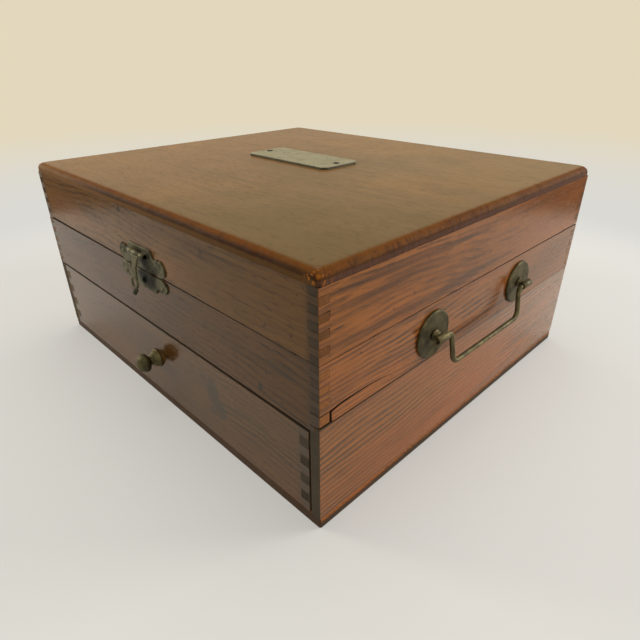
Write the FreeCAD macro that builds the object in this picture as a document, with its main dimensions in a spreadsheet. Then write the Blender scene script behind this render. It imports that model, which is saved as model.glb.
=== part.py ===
import FreeCAD, Part
import os
import re

import Sketcher

os.makedirs("parts", exist_ok=True)
doc = FreeCAD.newDocument("drafting_instrument_case")

# Driving sizes in millimetres
SIZES = {
    "case_width": 305.0,
    "case_depth": 269.0,
    "wall_thickness": 6.3,
    "base_thickness": 6.3,
    "housing_height": 57.7,
    "case_wall_height": 33.8,
    "floor_thickness": 3.3,
    "rebate_depth": 3.0,
    "lid_gap": 0.4,
    "lid_left_set": 1.5,
    "lid_wall_height": 35.2,
    "lid_board_thickness": 6.6,
    "lid_board_round": 4.0,
    "drawer_side_gap": 1.2,
    "drawer_top_gap": 0.8,
    "drawer_bottom_gap": 0.3,
    "drawer_back_gap": 1.2,
    "drawer_front_thickness": 6.3,
    "drawer_side_thickness": 6.0,
    "drawer_back_thickness": 6.0,
    "drawer_bottom_thickness": 3.0,
    "drawer_lining_thickness": 1.0,
    "compartment_lining_thickness": 1.5,
    "lid_lining_thickness": 3.0,
    "lining_clearance": 0.3,
    "divider_thickness": 4.0,
    "divider_height": 24.0,
    "rear_cell_depth": 111.2,
    "side_cell_width": 94.2,
    "name_plate_length": 86.0,
    "name_plate_depth": 36.0,
    "name_plate_thickness": 2.0,
    "name_plate_clip": 3.5,
    "name_plate_x": -15.0,
    "name_plate_y": 12.0,
    "name_plate_screw_spacing": 74.0,
    "plate_screw_head_radius": 2.3,
    "plate_screw_head_height": 1.4,
    "plate_screw_radius": 1.1,
    "plate_screw_length": 4.5,
    "knob_x": -1.0,
    "knob_height": 33.5,
    "knob_base_radius": 6.3,
    "knob_base_thickness": 1.2,
    "knob_dome_height": 3.4,
    "knob_neck_radius": 3.0,
    "knob_neck_length": 1.8,
    "knob_head_radius": 6.4,
    "knob_head_length": 8.2,
    "knob_screw_radius": 1.5,
    "knob_screw_depth": 6.0,
    "knob_screw_head_radius": 3.4,
    "knob_screw_head_height": 2.0,
    "handle_centre_y": -2.0,
    "handle_height": 79.3,
    "handle_spacing": 96.0,
    "rosette_radius": 14.0,
    "rosette_thickness": 1.2,
    "rosette_bevel": 0.6,
    "rosette_bevel_width": 1.4,
    "post_shank_radius": 2.2,
    "post_collar_radius": 3.2,
    "post_collar_length": 1.2,
    "post_neck_radius": 2.3,
    "eye_stand": 6.3,
    "eye_radius": 2.4,
    "eye_length": 10.0,
    "eye_clearance": 0.05,
    "bail_radius": 1.5,
    "bail_foot_recess": 1.0,
    "bail_side_gap": 0.5,
    "bail_shoulder_bend": 4.0,
    "bail_drop": 19.3,
    "bail_hang_degrees": 8.0,
    "bail_corner_bend": 5.0,
    "nut_radius": 4.0,
    "nut_height": 2.4,
    "nut_shank_stand": 0.6,
    "latch_x": 3.0,
    "latch_plate_thickness": 1.0,
    "latch_block_width": 25.0,
    "latch_lid_plate_height": 14.5,
    "latch_keeper_height": 12.0,
    "latch_ear_radius": 5.6,
    "latch_ear_spacing": 44.0,
    "latch_ear_offset": 6.2,
    "latch_edge_gap": 0.4,
    "latch_nail_radius": 0.8,
    "latch_nail_length": 5.0,
    "latch_nail_head_radius": 1.5,
    "latch_nail_head_height": 0.6,
    "latch_pin_height": 10.5,
    "latch_pin_stand": 2.7,
    "latch_pin_radius": 0.8,
    "latch_pin_clearance": 0.05,
    "latch_knuckle_radius": 1.7,
    "latch_knuckle_length": 4.5,
    "latch_knuckle_gap": 0.3,
    "hasp_width": 9.0,
    "hasp_thickness": 1.2,
    "hasp_length": 23.0,
    "hasp_flare": 3.6,
    "hasp_window_width": 4.0,
    "hasp_window_height": 5.0,
    "hasp_window_drop": 16.5,
    "hasp_curl_radius": 1.8,
    "keeper_nub_radius": 2.2,
    "keeper_nub_stand": 1.3,
    "keeper_nub_drop": 6.0,
    "hinge_inset": 57.5,
    "hinge_width": 40.0,
    "hinge_leaf_height": 15.0,
    "hinge_leaf_thickness": 1.2,
    "hinge_barrel_radius": 2.5,
    "hinge_barrel_stand": 2.9,
    "hinge_barrel_clearance": 0.4,
    "hinge_knuckle_length": 13.0,
    "hinge_knuckle_gap": 0.3,
    "hinge_pin_radius": 1.2,
    "hinge_pin_clearance": 0.05,
    "hinge_screw_spacing": 26.0,
    "hinge_screw_height": 9.5,
    "hinge_screw_head_radius": 2.2,
    "hinge_screw_head_height": 1.0,
    "hinge_screw_radius": 1.0,
    "hinge_screw_length": 4.0,
}

# Counts of equal fingers along each corner joint
LID_FINGERS = 9
CASE_FINGERS = 9
DRAWER_FINGERS = 9
# Stations along the curve of the hasp
HASP_STATIONS = 10
# Stations along the turned profile of the knob's head
KNOB_STATIONS = 12

sheet = doc.addObject("Spreadsheet::Sheet", "Sizes")
for row, (alias, value) in enumerate(SIZES.items(), start=1):
    cell = "B" + str(row)
    sheet.set("A" + str(row), alias)
    sheet.set(cell, str(value))
    sheet.setAlias(cell, alias)
doc.recompute()

WORD = re.compile(r"[a-z][a-z_]+")
ALONG_X = FreeCAD.Rotation(FreeCAD.Vector(0, 1, 0), 90)
ALONG_Y = FreeCAD.Rotation(FreeCAD.Vector(1, 0, 0), -90)
AGAINST_Y = FreeCAD.Rotation(FreeCAD.Vector(1, 0, 0), 90)
AGAINST_Z = FreeCAD.Rotation(FreeCAD.Vector(1, 0, 0), 180)
ALONG_Z = FreeCAD.Rotation()
# The ring of a bend lies in the plane of Y and Z
BEND_PLANE = FreeCAD.Rotation(FreeCAD.Vector(1, 1, 1), 120)


def formula(text):
    """Give a sheet formula with every size name pointing at the sheet."""
    return WORD.sub(lambda m: "Sizes." + m.group() if m.group() in SIZES else m.group(), text)


def bind(obj, **settings):
    """Drive properties of an object by formulas of the sheet."""
    for prop, text in settings.items():
        obj.setExpression(prop, formula(text))


def place(obj, at, turn=ALONG_Z):
    """Put an object at a point given as three formulas, turned by a rotation."""
    obj.Placement = FreeCAD.Placement(FreeCAD.Vector(), turn)
    for axis, text in zip("xyz", at):
        obj.setExpression("Placement.Base." + axis, formula(text))
    return obj


def box(name, low, extent):
    """Make a block from its low corner and its three extents."""
    obj = doc.addObject("Part::Box", name)
    bind(obj, Length=extent[0], Width=extent[1], Height=extent[2])
    return place(obj, low)


def rod(name, at, turn, radius, length):
    """Make a cylinder that starts at a point and runs along the turned axis."""
    obj = doc.addObject("Part::Cylinder", name)
    bind(obj, Radius=radius, Height=length)
    return place(obj, at, turn)


def cone(name, at, turn, radius_start, radius_end, length):
    """Make a frustum that starts at a point and runs along the turned axis."""
    obj = doc.addObject("Part::Cone", name)
    bind(obj, Radius1=radius_start, Radius2=radius_end, Height=length)
    return place(obj, at, turn)


def bend(name, at, quarter, ring_radius):
    """Make a quarter ring of bail rod, turned by whole quarters about X."""
    obj = doc.addObject("Part::Torus", name)
    obj.Angle3 = 90
    bind(obj, Radius1=ring_radius, Radius2="bail_radius")
    turn = FreeCAD.Rotation(FreeCAD.Vector(1, 0, 0), 90 * quarter) * BEND_PLANE
    return place(obj, at, turn)


def fuse(name, pieces):
    """Join pieces into one solid without seams."""
    obj = doc.addObject("Part::MultiFuse", name)
    obj.Shapes = pieces
    obj.Refine = True
    return obj


def cut(name, base, tool):
    """Take a tool away from a base."""
    obj = doc.addObject("Part::Cut", name)
    obj.Base = base
    obj.Tool = tool
    return obj


def group(name, pieces):
    """Keep several separate solids together under one name."""
    obj = doc.addObject("Part::Compound", name)
    obj.Links = pieces
    return obj


def mirror(name, source):
    """Make the left-hand twin of a right-hand piece."""
    obj = doc.addObject("Part::Mirroring", name)
    obj.Source = source
    obj.Base = FreeCAD.Vector(0, 0, 0)
    obj.Normal = FreeCAD.Vector(1, 0, 0)
    return obj


def outline_body(name, role, corners):
    """Start a body with a closed outline whose corners are driven by the sheet."""
    body = doc.addObject("PartDesign::Body", name)
    plane = [item for item in body.Origin.OriginFeatures if item.Role == role][0]
    sketch = body.newObject("Sketcher::SketchObject", name + "_outline")
    sketch.AttachmentSupport = [(plane, "")]
    sketch.MapMode = "FlatFace"
    count = len(corners)
    points = [FreeCAD.Vector(*[value_of(text) for text in corner]) for corner in corners]
    for start in range(count):
        sketch.addGeometry(Part.LineSegment(points[start], points[(start + 1) % count]), False)
    for start in range(count):
        sketch.addConstraint(Sketcher.Constraint("Coincident", start, 2, (start + 1) % count, 1))
    for index, corner in enumerate(corners):
        for kind, place_along, text in zip(("DistanceX", "DistanceY"), points[index], corner):
            label = kind + str(index)
            number = sketch.addConstraint(Sketcher.Constraint(kind, -1, 1, index, 1, place_along))
            sketch.renameConstraint(number, label)
            sketch.setExpression("Constraints." + label, formula(text))
    return body, sketch


def value_of(text):
    """Work out a formula of the sheet as a number."""
    result = sheet.evalExpression(formula(text))
    return float(getattr(result, "Value", result))


def pad(body, sketch, name, length):
    """Thicken an outline along its normal."""
    feature = body.newObject("PartDesign::Pad", name)
    feature.Profile = sketch
    bind(feature, Length=length)
    sketch.Visibility = False
    doc.recompute()
    return feature


def turned(body, sketch, name):
    """Turn an outline all round the sketch's level axis."""
    feature = body.newObject("PartDesign::Revolution", name)
    feature.Profile = sketch
    feature.ReferenceAxis = (sketch, ["H_Axis"])
    feature.Angle = 360
    doc.recompute()
    return feature


def screw(name, at, turn, head_radius, head_height, radius, length):
    """Make a countersunk screw from the middle of its head, running along the turned axis."""
    head = cone(name + "_head", at, turn, head_radius, radius, head_height)
    shank = rod(name + "_shank", at, turn, radius, length + " + " + head_height)
    return fuse(name, [head, shank])


def nail(name, at, turn, head_radius, head_height, radius, length):
    """Make a flat-headed nail from the middle of its head, running along the turned axis."""
    head = rod(name + "_head", at, turn, head_radius, head_height)
    shank = rod(name + "_shank", at, turn, radius, length + " + " + head_height)
    return fuse(name, [head, shank])


def finger_wall(name, low, extent, along, end_depths, fingers, first, extra=()):
    """Make a board with fingers at both ends along one axis.

    The core stops short of each end by the depth of the board it meets, and every second
    finger, counted upward from the first, runs the whole length of the board.
    """
    core_low = list(low)
    core_extent = list(extent)
    core_low[along] = low[along] + " + " + end_depths[0]
    core_extent[along] = extent[along] + " - " + end_depths[0] + " - " + end_depths[1]
    pieces = [box(name + "_core", core_low, core_extent)]
    for number in range(first, fingers, 2):
        share = str(number) + " / " + str(fingers)
        finger_low = list(low)
        finger_extent = list(extent)
        finger_low[2] = low[2] + " + (" + extent[2] + ") * " + share
        finger_extent[2] = "(" + extent[2] + ") / " + str(fingers)
        pieces.append(box(name + "_finger_" + str(number), finger_low, finger_extent))
    return fuse(name + "_jointed", pieces + list(extra))


# Levels and faces shared by several pieces
HOUSING_TOP = "base_thickness + housing_height"
DRAWER_ROOF = HOUSING_TOP + " - floor_thickness"
LID_LINE = HOUSING_TOP + " + case_wall_height"
LID_BOTTOM = LID_LINE + " + lid_gap"
BOARD_BOTTOM = LID_BOTTOM + " + lid_wall_height"
LID_TOP = BOARD_BOTTOM + " + lid_board_thickness"
FRONT = "-case_depth / 2"
BACK = "case_depth / 2"
RIGHT = "case_width / 2"
LEFT = "-case_width / 2"
INNER_RIGHT = "case_width / 2 - wall_thickness"
INNER_LEFT = "wall_thickness - case_width / 2"
INNER_FRONT = "wall_thickness - case_depth / 2"
INNER_BACK = "case_depth / 2 - wall_thickness"
INNER_WIDTH = "(case_width - 2 * wall_thickness)"
INNER_DEPTH = "(case_depth - 2 * wall_thickness)"
WALL_PAIR = ("wall_thickness", "wall_thickness")
nodes = {}

# Base board and drawer housing
nodes["base_board"] = box("base_board_block", (LEFT, FRONT, "0"),
                          ("case_width", "case_depth", "base_thickness"))
side_block = box("housing_right_block", (INNER_RIGHT, FRONT, "base_thickness"),
                 ("wall_thickness", "case_depth", "housing_height"))
side_rebate = box("housing_right_rebate", (INNER_RIGHT, FRONT, DRAWER_ROOF),
                  ("rebate_depth", "case_depth", "floor_thickness"))
nodes["housing_right_side"] = cut("housing_right_board", side_block, side_rebate)
nodes["housing_left_side"] = mirror("housing_left_board", nodes["housing_right_side"])
back_block = box("housing_back_block", (INNER_LEFT, INNER_BACK, "base_thickness"),
                 (INNER_WIDTH, "wall_thickness", "housing_height"))
back_rebate = box("housing_back_rebate", (INNER_LEFT, INNER_BACK, DRAWER_ROOF),
                  (INNER_WIDTH, "rebate_depth", "floor_thickness"))
nodes["housing_back"] = cut("housing_back_board", back_block, back_rebate)
nodes["compartment_floor"] = box("floor_panel",
                                 (INNER_LEFT + " - rebate_depth", INNER_FRONT, DRAWER_ROOF),
                                 (INNER_WIDTH + " + 2 * rebate_depth",
                                  INNER_DEPTH + " + rebate_depth", "floor_thickness"))

# Hinge screws, made first because the boards are bored for them
HINGE_X = "case_width / 2 - hinge_inset"
HINGE_AXIS_Y = "case_depth / 2 + hinge_barrel_stand"
HINGE_AXIS_Z = LID_LINE + " + lid_gap / 2"
LEAF_FACE = "case_depth / 2 + hinge_leaf_thickness"


def hinge_screws(name, height):
    """Make the two screws of one right-hand hinge leaf."""
    made = []
    for label, sign in (("inner", "-"), ("outer", "+")):
        at = (HINGE_X + " " + sign + " hinge_screw_spacing / 2", LEAF_FACE, height)
        made.append(screw(name + "_" + label, at, AGAINST_Y, "hinge_screw_head_radius",
                          "hinge_screw_head_height", "hinge_screw_radius", "hinge_screw_length"))
    return group(name, made)


case_screws_right = hinge_screws("hinge_case_screws_right", HINGE_AXIS_Z + " - hinge_screw_height")
lid_screws_right = hinge_screws("hinge_lid_screws_right", HINGE_AXIS_Z + " + hinge_screw_height")
case_screws_left = mirror("hinge_case_screws_left", case_screws_right)
lid_screws_left = mirror("hinge_lid_screws_left", lid_screws_right)
nodes["hinge_case_screws"] = group("hinge_case_screw_set", [case_screws_right, case_screws_left])
nodes["hinge_lid_screws"] = group("hinge_lid_screw_set", [lid_screws_right, lid_screws_left])

# Latch nails, made first for the same reason
EAR_Z_LID = LID_BOTTOM + " + latch_ear_offset"
EAR_Z_KEEPER = LID_LINE + " - latch_ear_offset"
NAIL_FACE = "-case_depth / 2 - latch_plate_thickness - latch_nail_head_height"


def latch_nails(name, height):
    """Make the two nails of one latch plate."""
    made = []
    for label, sign in (("left", "-"), ("right", "+")):
        at = ("latch_x " + sign + " latch_ear_spacing / 2", NAIL_FACE, height)
        made.append(nail(name + "_" + label, at, ALONG_Y, "latch_nail_head_radius",
                         "latch_nail_head_height", "latch_nail_radius",
                         "latch_nail_length + latch_plate_thickness"))
    return group(name, made)


nodes["latch_lid_nails"] = latch_nails("latch_lid_nail_set", EAR_Z_LID)
nodes["latch_keeper_nails"] = latch_nails("latch_keeper_nail_set", EAR_Z_KEEPER)

# Handle posts with their shanks through rosette and wall
EYE_X = "case_width / 2 + eye_stand"
ROSETTE_FACE = "case_width / 2 + rosette_thickness + rosette_bevel"
NUT_X = INNER_RIGHT + " - nut_height"
EYE_HALF = "eye_length / 2"


def handle_post(name, centre_y):
    """Make one right-hand post: shank, collar, neck and a bored eye along Y."""
    level = "handle_height"
    shank_start = NUT_X + " - nut_shank_stand"
    shank = rod(name + "_shank", (shank_start, centre_y, level), ALONG_X, "post_shank_radius",
                ROSETTE_FACE + " + post_collar_length - (" + shank_start + ")")
    collar = rod(name + "_collar", (ROSETTE_FACE, centre_y, level), ALONG_X, "post_collar_radius",
                 "post_collar_length")
    neck = rod(name + "_neck", (ROSETTE_FACE, centre_y, level), ALONG_X, "post_neck_radius",
               "case_width / 2 + eye_stand - (" + ROSETTE_FACE + ")")
    eye = rod(name + "_eye", (EYE_X, centre_y + " - " + EYE_HALF, level), ALONG_Y, "eye_radius",
              "eye_length")
    bore = rod(name + "_bore", (EYE_X, centre_y + " - eye_length", level), ALONG_Y,
               "bail_radius + eye_clearance", "2 * eye_length")
    return cut(name, fuse(name + "_blank", [shank, collar, neck, eye]), bore)


def handle_rosette(name, centre_y):
    """Make one right-hand rosette with a bevelled rim, bored for its post."""
    level = "handle_height"
    disc = rod(name + "_disc", (RIGHT, centre_y, level), ALONG_X, "rosette_radius",
               "rosette_thickness")
    rim = cone(name + "_rim", ("case_width / 2 + rosette_thickness", centre_y, level), ALONG_X,
               "rosette_radius", "rosette_radius - rosette_bevel_width", "rosette_bevel")
    hole = rod(name + "_hole", (INNER_RIGHT, centre_y, level), ALONG_X, "post_shank_radius",
               "2 * wall_thickness")
    return cut(name, fuse(name + "_blank", [disc, rim]), hole)


def handle_nut(name, centre_y):
    """Make one right-hand six-sided nut inside the wall, bored for its post."""
    blank = doc.addObject("Part::Prism", name + "_blank")
    blank.Polygon = 6
    bind(blank, Circumradius="nut_radius", Height="nut_height")
    place(blank, (NUT_X, centre_y, "handle_height"), ALONG_X)
    hole = rod(name + "_hole", (NUT_X + " - nut_height", centre_y, "handle_height"), ALONG_X,
               "post_shank_radius", "3 * nut_height")
    return cut(name, blank, hole)


POST_FRONT = "handle_centre_y - handle_spacing / 2"
POST_REAR = "handle_centre_y + handle_spacing / 2"
wall_holes = []
nuts = []
for place_name, post_y in (("front", POST_FRONT), ("rear", POST_REAR)):
    stem = "handle_right_" + place_name
    nodes[stem + "_post"] = handle_post(stem + "_post_body", post_y)
    nodes[stem + "_rosette"] = handle_rosette(stem + "_rosette_body", post_y)
    nuts.append(handle_nut(stem + "_nut", post_y))
    wall_holes.append(rod(stem + "_wall_hole", (NUT_X, post_y, "handle_height"), ALONG_X,
                          "post_shank_radius", "nut_height + 2 * wall_thickness"))
nodes["handle_right_nuts"] = group("handle_right_nut_pair", nuts)

# Right-hand bail about the axis of its eyes: foot in each eye, shoulder bend, leg, corner bend and grip
# bar; it hangs a little outward
LEG_INSET = "eye_length / 2 + bail_side_gap + bail_shoulder_bend"
BAR_Z = "-bail_drop"
LEG_TOP = "-bail_shoulder_bend"
LEG_LENGTH = "bail_drop - bail_shoulder_bend - bail_corner_bend"
FOOT_LENGTH = "eye_length + bail_side_gap - bail_foot_recess"
FRONT_LEG = POST_FRONT + " + " + LEG_INSET
REAR_LEG = POST_REAR + " - (" + LEG_INSET + ")"
bail_pieces = [
    rod("bail_front_foot", ("0", POST_FRONT + " - eye_length / 2 + bail_foot_recess",
                            "0"), ALONG_Y, "bail_radius", FOOT_LENGTH),
    bend("bail_front_shoulder", ("0", FRONT_LEG + " - bail_shoulder_bend", LEG_TOP), 0,
         "bail_shoulder_bend"),
    rod("bail_front_leg", ("0", FRONT_LEG, BAR_Z + " + bail_corner_bend"), ALONG_Z,
        "bail_radius", LEG_LENGTH),
    bend("bail_front_corner", ("0", FRONT_LEG + " + bail_corner_bend",
                               BAR_Z + " + bail_corner_bend"), 2, "bail_corner_bend"),
    rod("bail_bar", ("0", FRONT_LEG + " + bail_corner_bend", BAR_Z), ALONG_Y, "bail_radius",
        "handle_spacing - 2 * (" + LEG_INSET + ") - 2 * bail_corner_bend"),
    bend("bail_rear_corner", ("0", REAR_LEG + " - bail_corner_bend",
                              BAR_Z + " + bail_corner_bend"), 3, "bail_corner_bend"),
    rod("bail_rear_leg", ("0", REAR_LEG, BAR_Z + " + bail_corner_bend"), ALONG_Z,
        "bail_radius", LEG_LENGTH),
    bend("bail_rear_shoulder", ("0", REAR_LEG + " + bail_shoulder_bend", LEG_TOP), 1,
         "bail_shoulder_bend"),
    rod("bail_rear_foot", ("0", REAR_LEG + " + bail_shoulder_bend", "0"), ALONG_Y,
        "bail_radius", FOOT_LENGTH),
]
bail = fuse("handle_right_bail_rod", bail_pieces)
OUTWARD = FreeCAD.Rotation(FreeCAD.Vector(0, -1, 0), SIZES["bail_hang_degrees"])
place(bail, (EYE_X, "0", "handle_height"), OUTWARD)
bail.setExpression("Placement.Rotation.Angle", formula("bail_hang_degrees * 1 deg"))
nodes["handle_right_bail"] = bail

# Left-hand handle is the twin of the right-hand one
for piece in ("front_post", "rear_post", "front_rosette", "rear_rosette", "nuts", "bail"):
    twin = "handle_left_" + piece
    nodes[twin] = mirror(twin + "_twin", nodes["handle_right_" + piece])

# Walls of the instrument compartment, finger jointed at the corners
wall_level = HOUSING_TOP
side_wall = finger_wall("case_right", (INNER_RIGHT, FRONT, wall_level),
                        ("wall_thickness", "case_depth", "case_wall_height"), 1, WALL_PAIR,
                        CASE_FINGERS, 0)
nodes["case_right_wall"] = cut("case_right_board", side_wall, group("case_right_holes", wall_holes))
nodes["case_left_wall"] = mirror("case_left_board", nodes["case_right_wall"])
front_rail = box("case_front_rail", (INNER_LEFT + " - rebate_depth", FRONT, DRAWER_ROOF),
                 (INNER_WIDTH + " + 2 * rebate_depth", "wall_thickness", "floor_thickness"))
front_wall = finger_wall("case_front", (LEFT, FRONT, wall_level),
                         ("case_width", "wall_thickness", "case_wall_height"), 0, WALL_PAIR,
                         CASE_FINGERS, 1, [front_rail])
nodes["case_front_wall"] = cut("case_front_board", front_wall, nodes["latch_keeper_nails"])
back_wall = finger_wall("case_back", (LEFT, INNER_BACK, wall_level),
                        ("case_width", "wall_thickness", "case_wall_height"), 0, WALL_PAIR,
                        CASE_FINGERS, 1)
nodes["case_back_wall"] = cut("case_back_board", back_wall, nodes["hinge_case_screws"])

# Lining and dividers of the compartment
LINING_TOP = HOUSING_TOP + " + compartment_lining_thickness"
LONG_DIVIDER_Y = INNER_BACK + " - rear_cell_depth - divider_thickness"
CROSS_DIVIDER_X = INNER_RIGHT + " - side_cell_width - divider_thickness"
nodes["compartment_lining"] = box(
    "compartment_lining_sheet",
    (INNER_LEFT + " + lining_clearance", INNER_FRONT + " + lining_clearance", HOUSING_TOP),
    (INNER_WIDTH + " - 2 * lining_clearance", INNER_DEPTH + " - 2 * lining_clearance",
     "compartment_lining_thickness"))
nodes["compartment_long_divider"] = box(
    "long_divider_board", (INNER_LEFT, LONG_DIVIDER_Y, LINING_TOP),
    (INNER_WIDTH, "divider_thickness", "divider_height"))
nodes["compartment_right_divider"] = box(
    "right_divider_board",
    (CROSS_DIVIDER_X, INNER_BACK + " - rear_cell_depth", LINING_TOP),
    ("divider_thickness", "rear_cell_depth", "divider_height"))
nodes["compartment_left_divider"] = mirror("left_divider_board", nodes["compartment_right_divider"])

# Lid walls, set a little to the right of the case below
LID_LEFT = "(-case_width / 2 + lid_left_set)"
LID_RIGHT = "case_width / 2"
LID_WIDTH = "(case_width - lid_left_set)"
LID_INNER_WIDTH = "(" + LID_WIDTH + " - 2 * wall_thickness)"
side_extent = ("wall_thickness", "case_depth", "lid_wall_height")
end_extent = (LID_WIDTH, "wall_thickness", "lid_wall_height")
nodes["lid_right_wall"] = finger_wall("lid_right", (LID_RIGHT + " - wall_thickness", FRONT, LID_BOTTOM),
                                      side_extent, 1, WALL_PAIR, LID_FINGERS, 0)
nodes["lid_left_wall"] = finger_wall("lid_left", (LID_LEFT, FRONT, LID_BOTTOM), side_extent, 1,
                                     WALL_PAIR, LID_FINGERS, 0)
lid_front = finger_wall("lid_front", (LID_LEFT, FRONT, LID_BOTTOM), end_extent, 0, WALL_PAIR,
                        LID_FINGERS, 1)
nodes["lid_front_wall"] = cut("lid_front_board", lid_front, nodes["latch_lid_nails"])
lid_back = finger_wall("lid_back", (LID_LEFT, INNER_BACK, LID_BOTTOM), end_extent, 0, WALL_PAIR,
                       LID_FINGERS, 1)
nodes["lid_back_wall"] = cut("lid_back_board", lid_back, nodes["hinge_lid_screws"])
nodes["lid_lining"] = box(
    "lid_lining_pad",
    (LID_LEFT + " + wall_thickness + lining_clearance", INNER_FRONT + " + lining_clearance",
     BOARD_BOTTOM + " - lid_lining_thickness"),
    (LID_INNER_WIDTH + " - 2 * lining_clearance", INNER_DEPTH + " - 2 * lining_clearance",
     "lid_lining_thickness"))

# Name plate and its two screws
NAME_FACE = LID_TOP + " + name_plate_thickness"
plate_screws = []
for label, sign in (("left", "-"), ("right", "+")):
    head_at = ("name_plate_x " + sign + " name_plate_screw_spacing / 2", "name_plate_y", NAME_FACE)
    plate_screws.append(screw("name_plate_screw_" + label, head_at, AGAINST_Z,
                              "plate_screw_head_radius", "plate_screw_head_height",
                              "plate_screw_radius", "plate_screw_length"))
nodes["name_plate_screws"] = group("name_plate_screw_pair", plate_screws)
half_x = "name_plate_length / 2"
half_y = "name_plate_depth / 2"
clip_x = "(name_plate_length / 2 - name_plate_clip)"
clip_y = "(name_plate_depth / 2 - name_plate_clip)"
plate_corners = [
    ("-" + clip_x, "-" + half_y), (clip_x, "-" + half_y), (half_x, "-" + clip_y), (half_x, clip_y),
    (clip_x, half_y), ("-" + clip_x, half_y), ("-" + half_x, clip_y), ("-" + half_x, "-" + clip_y),
]
plate_body, plate_outline = outline_body("name_plate_blank", "XY_Plane", plate_corners)
pad(plate_body, plate_outline, "name_plate_pad", "name_plate_thickness")
place(plate_body, ("name_plate_x", "name_plate_y", LID_TOP))
nodes["name_plate"] = cut("name_plate_bored", plate_body, nodes["name_plate_screws"])

# Lid top board with a rounded upper edge all round
HALF_LID = LID_WIDTH + " / 2"
board_corners = [("-" + HALF_LID, FRONT), (HALF_LID, FRONT), (HALF_LID, BACK), ("-" + HALF_LID, BACK)]
board_body, board_outline = outline_body("lid_top_blank", "XY_Plane", board_corners)
board_pad = pad(board_body, board_outline, "lid_top_pad", "lid_board_thickness")
upper = SIZES["lid_board_thickness"]
upper_edges = ["Edge" + str(number) for number, edge in enumerate(board_pad.Shape.Edges, start=1)
               if abs(edge.BoundBox.ZMin - upper) < 1e-6]
rounding = board_body.newObject("PartDesign::Fillet", "lid_top_rounding")
rounding.Base = (board_pad, upper_edges)
bind(rounding, Radius="lid_board_round")
doc.recompute()
place(board_body, ("lid_left_set / 2", "0", BOARD_BOTTOM))
nodes["lid_top_panel"] = cut("lid_top_bored", board_body, nodes["name_plate_screws"])

# Drawer, jointed at the front corners
DRAWER_BOTTOM = "base_thickness + drawer_bottom_gap"
DRAWER_HEIGHT = "(housing_height - floor_thickness - drawer_top_gap - drawer_bottom_gap)"
DRAWER_LEFT = INNER_LEFT + " + drawer_side_gap"
DRAWER_RIGHT = INNER_RIGHT + " - drawer_side_gap"
DRAWER_WIDTH = "(case_width - 2 * wall_thickness - 2 * drawer_side_gap)"
DRAWER_DEPTH = "(case_depth - wall_thickness - drawer_back_gap)"
DRAWER_INNER_WIDTH = DRAWER_WIDTH + " - 2 * drawer_side_thickness"
DRAWER_FLOOR_Y = "drawer_front_thickness - case_depth / 2"
DRAWER_FLOOR_DEPTH = "(" + DRAWER_DEPTH + " - drawer_front_thickness - drawer_back_thickness)"
drawer_side_extent = ("drawer_side_thickness", DRAWER_DEPTH, DRAWER_HEIGHT)
drawer_depths = ("drawer_front_thickness", "0 * drawer_back_thickness")
nodes["drawer_right_side"] = finger_wall(
    "drawer_right", (DRAWER_RIGHT + " - drawer_side_thickness", FRONT, DRAWER_BOTTOM),
    drawer_side_extent, 1, drawer_depths, DRAWER_FINGERS, 1)
nodes["drawer_left_side"] = mirror("drawer_left_board", nodes["drawer_right_side"])
knob_hole = rod("knob_hole", ("knob_x", "-case_depth", "knob_height"), ALONG_Y,
                "knob_screw_radius", "case_depth")
drawer_front = finger_wall("drawer_front", (DRAWER_LEFT, FRONT, DRAWER_BOTTOM),
                           (DRAWER_WIDTH, "drawer_front_thickness", DRAWER_HEIGHT), 0,
                           ("drawer_side_thickness", "drawer_side_thickness"), DRAWER_FINGERS, 0)
nodes["drawer_front"] = cut("drawer_front_board", drawer_front, knob_hole)
nodes["drawer_back"] = box(
    "drawer_back_board",
    (DRAWER_LEFT + " + drawer_side_thickness",
     INNER_BACK + " - drawer_back_gap - drawer_back_thickness", DRAWER_BOTTOM),
    (DRAWER_INNER_WIDTH, "drawer_back_thickness", DRAWER_HEIGHT))
nodes["drawer_bottom"] = box(
    "drawer_bottom_panel", (DRAWER_LEFT + " + drawer_side_thickness", DRAWER_FLOOR_Y, DRAWER_BOTTOM),
    (DRAWER_INNER_WIDTH, DRAWER_FLOOR_DEPTH, "drawer_bottom_thickness"))
nodes["drawer_lining"] = box(
    "drawer_lining_sheet",
    (DRAWER_LEFT + " + drawer_side_thickness + lining_clearance", DRAWER_FLOOR_Y + " + lining_clearance",
     DRAWER_BOTTOM + " + drawer_bottom_thickness"),
    (DRAWER_INNER_WIDTH + " - 2 * lining_clearance", DRAWER_FLOOR_DEPTH + " - 2 * lining_clearance",
     "drawer_lining_thickness"))

# Turned knob and the screw that holds it from inside the drawer
NECK_START = "(knob_base_thickness + knob_dome_height)"
HEAD_START = "(knob_base_thickness + knob_dome_height + knob_neck_length)"
knob_corners = [("0", "0"), ("0", "knob_base_radius"), ("-knob_base_thickness", "knob_base_radius"),
                ("-" + NECK_START, "knob_neck_radius * 1.3"), ("-" + HEAD_START, "knob_neck_radius")]
for station in range(1, KNOB_STATIONS):
    turn_degrees = str(180.0 * station / KNOB_STATIONS) + " deg"
    forward = "-" + HEAD_START + " - knob_head_length * (1 - cos(" + turn_degrees + ")) / 2"
    outward = "(knob_head_radius - knob_neck_radius / 2) * sin(" + turn_degrees + ") + knob_neck_radius / 2"
    knob_corners.append((forward, outward))
knob_corners.append(("-" + HEAD_START + " - knob_head_length", "0"))
knob_body, knob_outline = outline_body("drawer_knob_blank", "YZ_Plane", knob_corners)
turned(knob_body, knob_outline, "drawer_knob_turning")
place(knob_body, ("knob_x", FRONT, "knob_height"))
knob_socket = rod("knob_socket", ("knob_x", "-case_depth / 2 - knob_screw_depth", "knob_height"),
                  ALONG_Y, "knob_screw_radius", "knob_screw_depth")
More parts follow.
